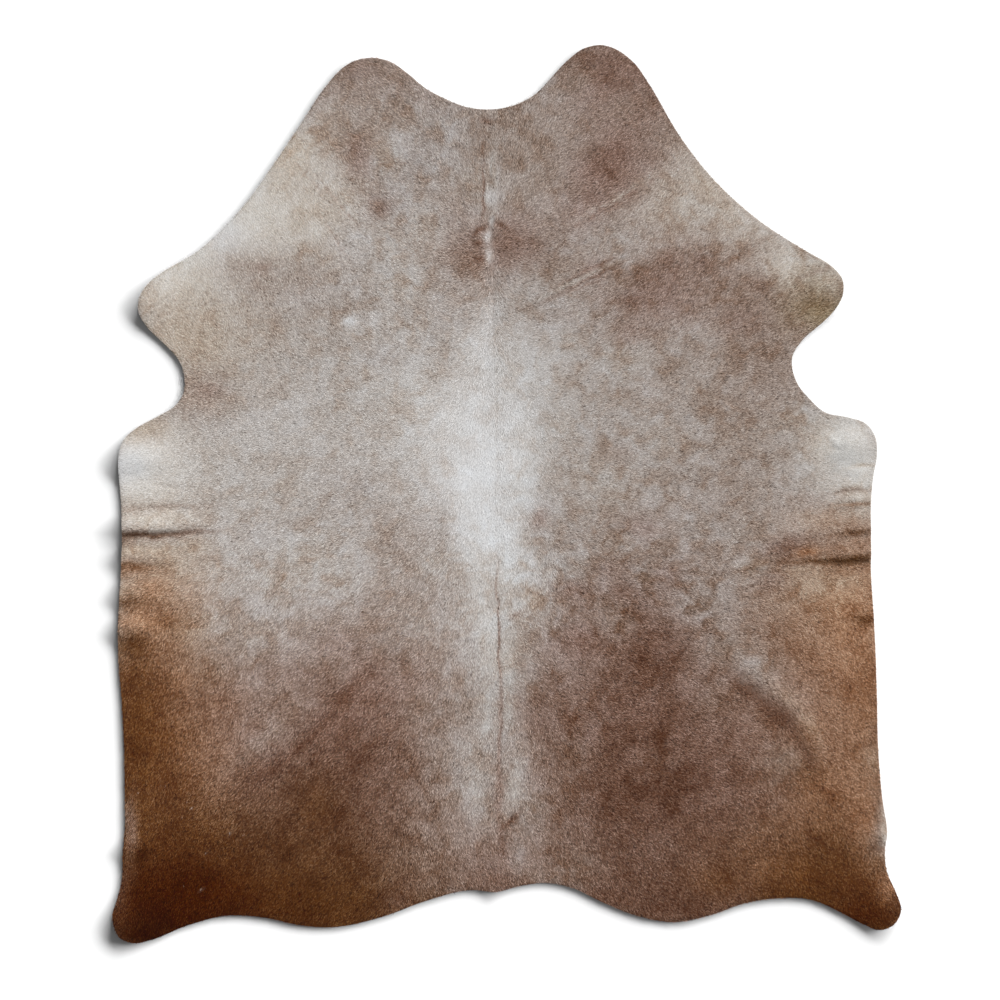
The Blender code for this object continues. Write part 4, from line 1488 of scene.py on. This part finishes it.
def new_finish(name, roughness, specular, sheen):
    """A finish with its plain values set on the shader's own sockets."""
    finish = bpy.data.materials.new(name)
    finish.use_nodes = True
    shader = finish.node_tree.nodes["Principled BSDF"]
    shader.inputs["Roughness"].default_value = roughness
    shader.inputs["Specular IOR Level"].default_value = specular
    shader.inputs["Sheen Weight"].default_value = sheen
    return finish, finish.node_tree, shader


def add_noise(tree, scale, detail):
    """Noise on the object's coordinates, with the given number of bumps to the metre."""
    place = tree.nodes.new("ShaderNodeTexCoord")
    noise = tree.nodes.new("ShaderNodeTexNoise")
    noise.inputs["Scale"].default_value = scale
    noise.inputs["Detail"].default_value = detail
    tree.links.new(place.outputs["Object"], noise.inputs["Vector"])
    return noise


def add_range(tree, source, low, high):
    """Maps the range in which most of a noise lies onto low to high, in a straight line."""
    fit = tree.nodes.new("ShaderNodeMapRange")
    ends = {"From Min": NOISE_LOW, "From Max": NOISE_HIGH, "To Min": low, "To Max": high}
    for socket, value in ends.items():
        fit.inputs[socket].default_value = value
    tree.links.new(source, fit.inputs["Value"])
    return fit.outputs["Result"]


def add_product(tree, colour, factor):
    """The colour times one number at each point."""
    product = tree.nodes.new("ShaderNodeVectorMath")
    product.operation = "SCALE"
    tree.links.new(colour, product.inputs[0])
    tree.links.new(factor, product.inputs["Scale"])
    return product.outputs["Vector"]


print("node helpers are ready")

# %% Hair and the matted coat under it
def hair_finish(name, roughness, grain, streak_low, streak_high):
    """Base colour = the piece's own hair colour times a fine noise of streaks."""
    finish, tree, shader = new_finish(name, roughness, specular=0.06, sheen=0.0)
    colour = tree.nodes.new("ShaderNodeVertexColor")
    colour.layer_name = COLOUR_LAYER
    streaks = add_noise(tree, grain, detail=2.0)
    factor = add_range(tree, streaks.outputs["Fac"], streak_low, streak_high)
    tree.links.new(add_product(tree, colour.outputs["Color"], factor), shader.inputs["Base Color"])
    return finish


lying_hair = hair_finish(
    "lying hair", roughness=0.55, grain=700, streak_low=0.88, streak_high=1.10
)
matted_hair = hair_finish(
    "matted hair", roughness=0.75, grain=420, streak_low=0.61, streak_high=1.22
)
print("finishes:", lying_hair.name, "and", matted_hair.name)

# %% Suede
SUEDE_TONES = (
    # place on the ramp, colour
    (0.35, (0.33, 0.24, 0.16, 1.0)),
    (0.65, (0.47, 0.36, 0.25, 1.0)),
)
NAP_STRENGTH = 0.5
NAP_DEPTH = 0.5 * MM

suede, tree, shader = new_finish("suede", roughness=0.9, specular=0.15, sheen=0.25)
clouds = add_noise(tree, scale=9, detail=5.0)
tones = tree.nodes.new("ShaderNodeValToRGB")
for stop, (place, tone) in zip(tones.color_ramp.elements, SUEDE_TONES):
    stop.position = place
    stop.color = tone
tree.links.new(clouds.outputs["Fac"], tones.inputs["Fac"])
tree.links.new(tones.outputs["Color"], shader.inputs["Base Color"])
nap = add_noise(tree, scale=900, detail=3.0)
bump = tree.nodes.new("ShaderNodeBump")
bump.inputs["Strength"].default_value = NAP_STRENGTH
bump.inputs["Distance"].default_value = NAP_DEPTH
tree.links.new(nap.outputs["Fac"], bump.inputs["Height"])
tree.links.new(bump.outputs["Normal"], shader.inputs["Normal"])

skin.data.materials.append(matted_hair)
skin.data.materials.append(suede)
for coat in coats:
    coat.data.materials.append(lying_hair)
print("materials on the skin:", [m.name for m in skin.data.materials])

# %% [markdown]
# ## Floor, light and camera
#
# The rug lies on a plain white floor. A soft lamp from the upper right, over the neck,
# draws the folds. It would leave the thin rim almost without a shadow, so it lights only
# the rug, and a fan of low lamps on the same side lights only the floor. One low lamp would
# stretch each fold's end into a dark spike; the fan blurs them into a soft band along the
# lower left. Blender calls this light linking. An even white sky fills the rest. The camera
# looks straight down through a long lens, so the rim is hardly bent.

# %% The floor
FLOOR_HALF = 40.0
FLOOR_DROP = 0.2 * MM
FLOOR_WHITE = (0.22, 0.22, 0.22, 1.0)

floor_points = FLOOR_HALF * np.array([[-1, -1, 0], [1, -1, 0], [1, 1, 0], [-1, 1, 0]], float)
floor_points[:, 2] = -FLOOR_DROP
floor = make_mesh("floor", floor_points, np.array([[0, 1, 2, 3]]))
floor_finish, tree, shader = new_finish("floor white", roughness=1.0, specular=0.0, sheen=0.0)
shader.inputs["Base Color"].default_value = FLOOR_WHITE
floor.data.materials.append(floor_finish)
print("the floor lies", FLOOR_DROP / MM, "mm below the rug")

# %% The lamps and the sky
SKY_STRENGTH = 0.52
KEY_LAMP = (38, 16, 3.1)  # height and softness in degrees, strength
KEY_AZIMUTH = 45
FAN_LAMP = (10, 16, 17.5)
FAN_AZIMUTHS = (8, 25, 42, 59, 76)

lamps = [("key lamp", KEY_AZIMUTH, *KEY_LAMP, [skin] + coats)]
for azimuth in FAN_AZIMUTHS:
    lamps.append((f"floor lamp at {azimuth}", azimuth, *FAN_LAMP, [floor]))

for name, azimuth, height, softness, strength, lit in lamps:
    lamp_data = bpy.data.lights.new(name, "SUN")
    lamp_data.energy = strength
    lamp_data.angle = np.radians(softness)
    lamp = bpy.data.objects.new(name, lamp_data)
    bpy.context.scene.collection.objects.link(lamp)
    lamp.rotation_euler = (0, np.radians(90 - height), np.radians(azimuth))
    receivers = bpy.data.collections.new(f"lit by the {name}")
    for piece in lit:
        receivers.objects.link(piece)
    lamp.light_linking.receiver_collection = receivers

sky = bpy.data.worlds.new("sky")
sky.use_nodes = True
sky.node_tree.nodes["Background"].inputs["Color"].default_value = (1, 1, 1, 1)
sky.node_tree.nodes["Background"].inputs["Strength"].default_value = SKY_STRENGTH
bpy.context.scene.world = sky
bpy.context.scene.view_settings.view_transform = "Standard"
print("lamps:", [name for name, *_ in lamps])

# %% The camera
LENS = 200.0
FILM = 36.0
VIEW_WIDTH = CHART_SIZE * STEP

middle = chart_centre - plan_middle
camera_data = bpy.data.cameras.new("camera")
camera_data.lens = LENS
camera_data.sensor_width = FILM
camera = bpy.data.objects.new("camera", camera_data)
camera.location = (middle[0], middle[1], VIEW_WIDTH * LENS / FILM)
bpy.context.scene.collection.objects.link(camera)
bpy.context.scene.camera = camera
print("the camera looks down from", round(camera.location.z, 2), "m at", middle)

# %% [markdown]
# ## What rides on what
#
# The skin stands for the solid part and is one sheet of its real cut size. The coat's four
# quarters grow on it. Nothing moves, so all of them ride on the one body.

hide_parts("hide")
for piece in [skin] + coats:
    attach(piece, "root")
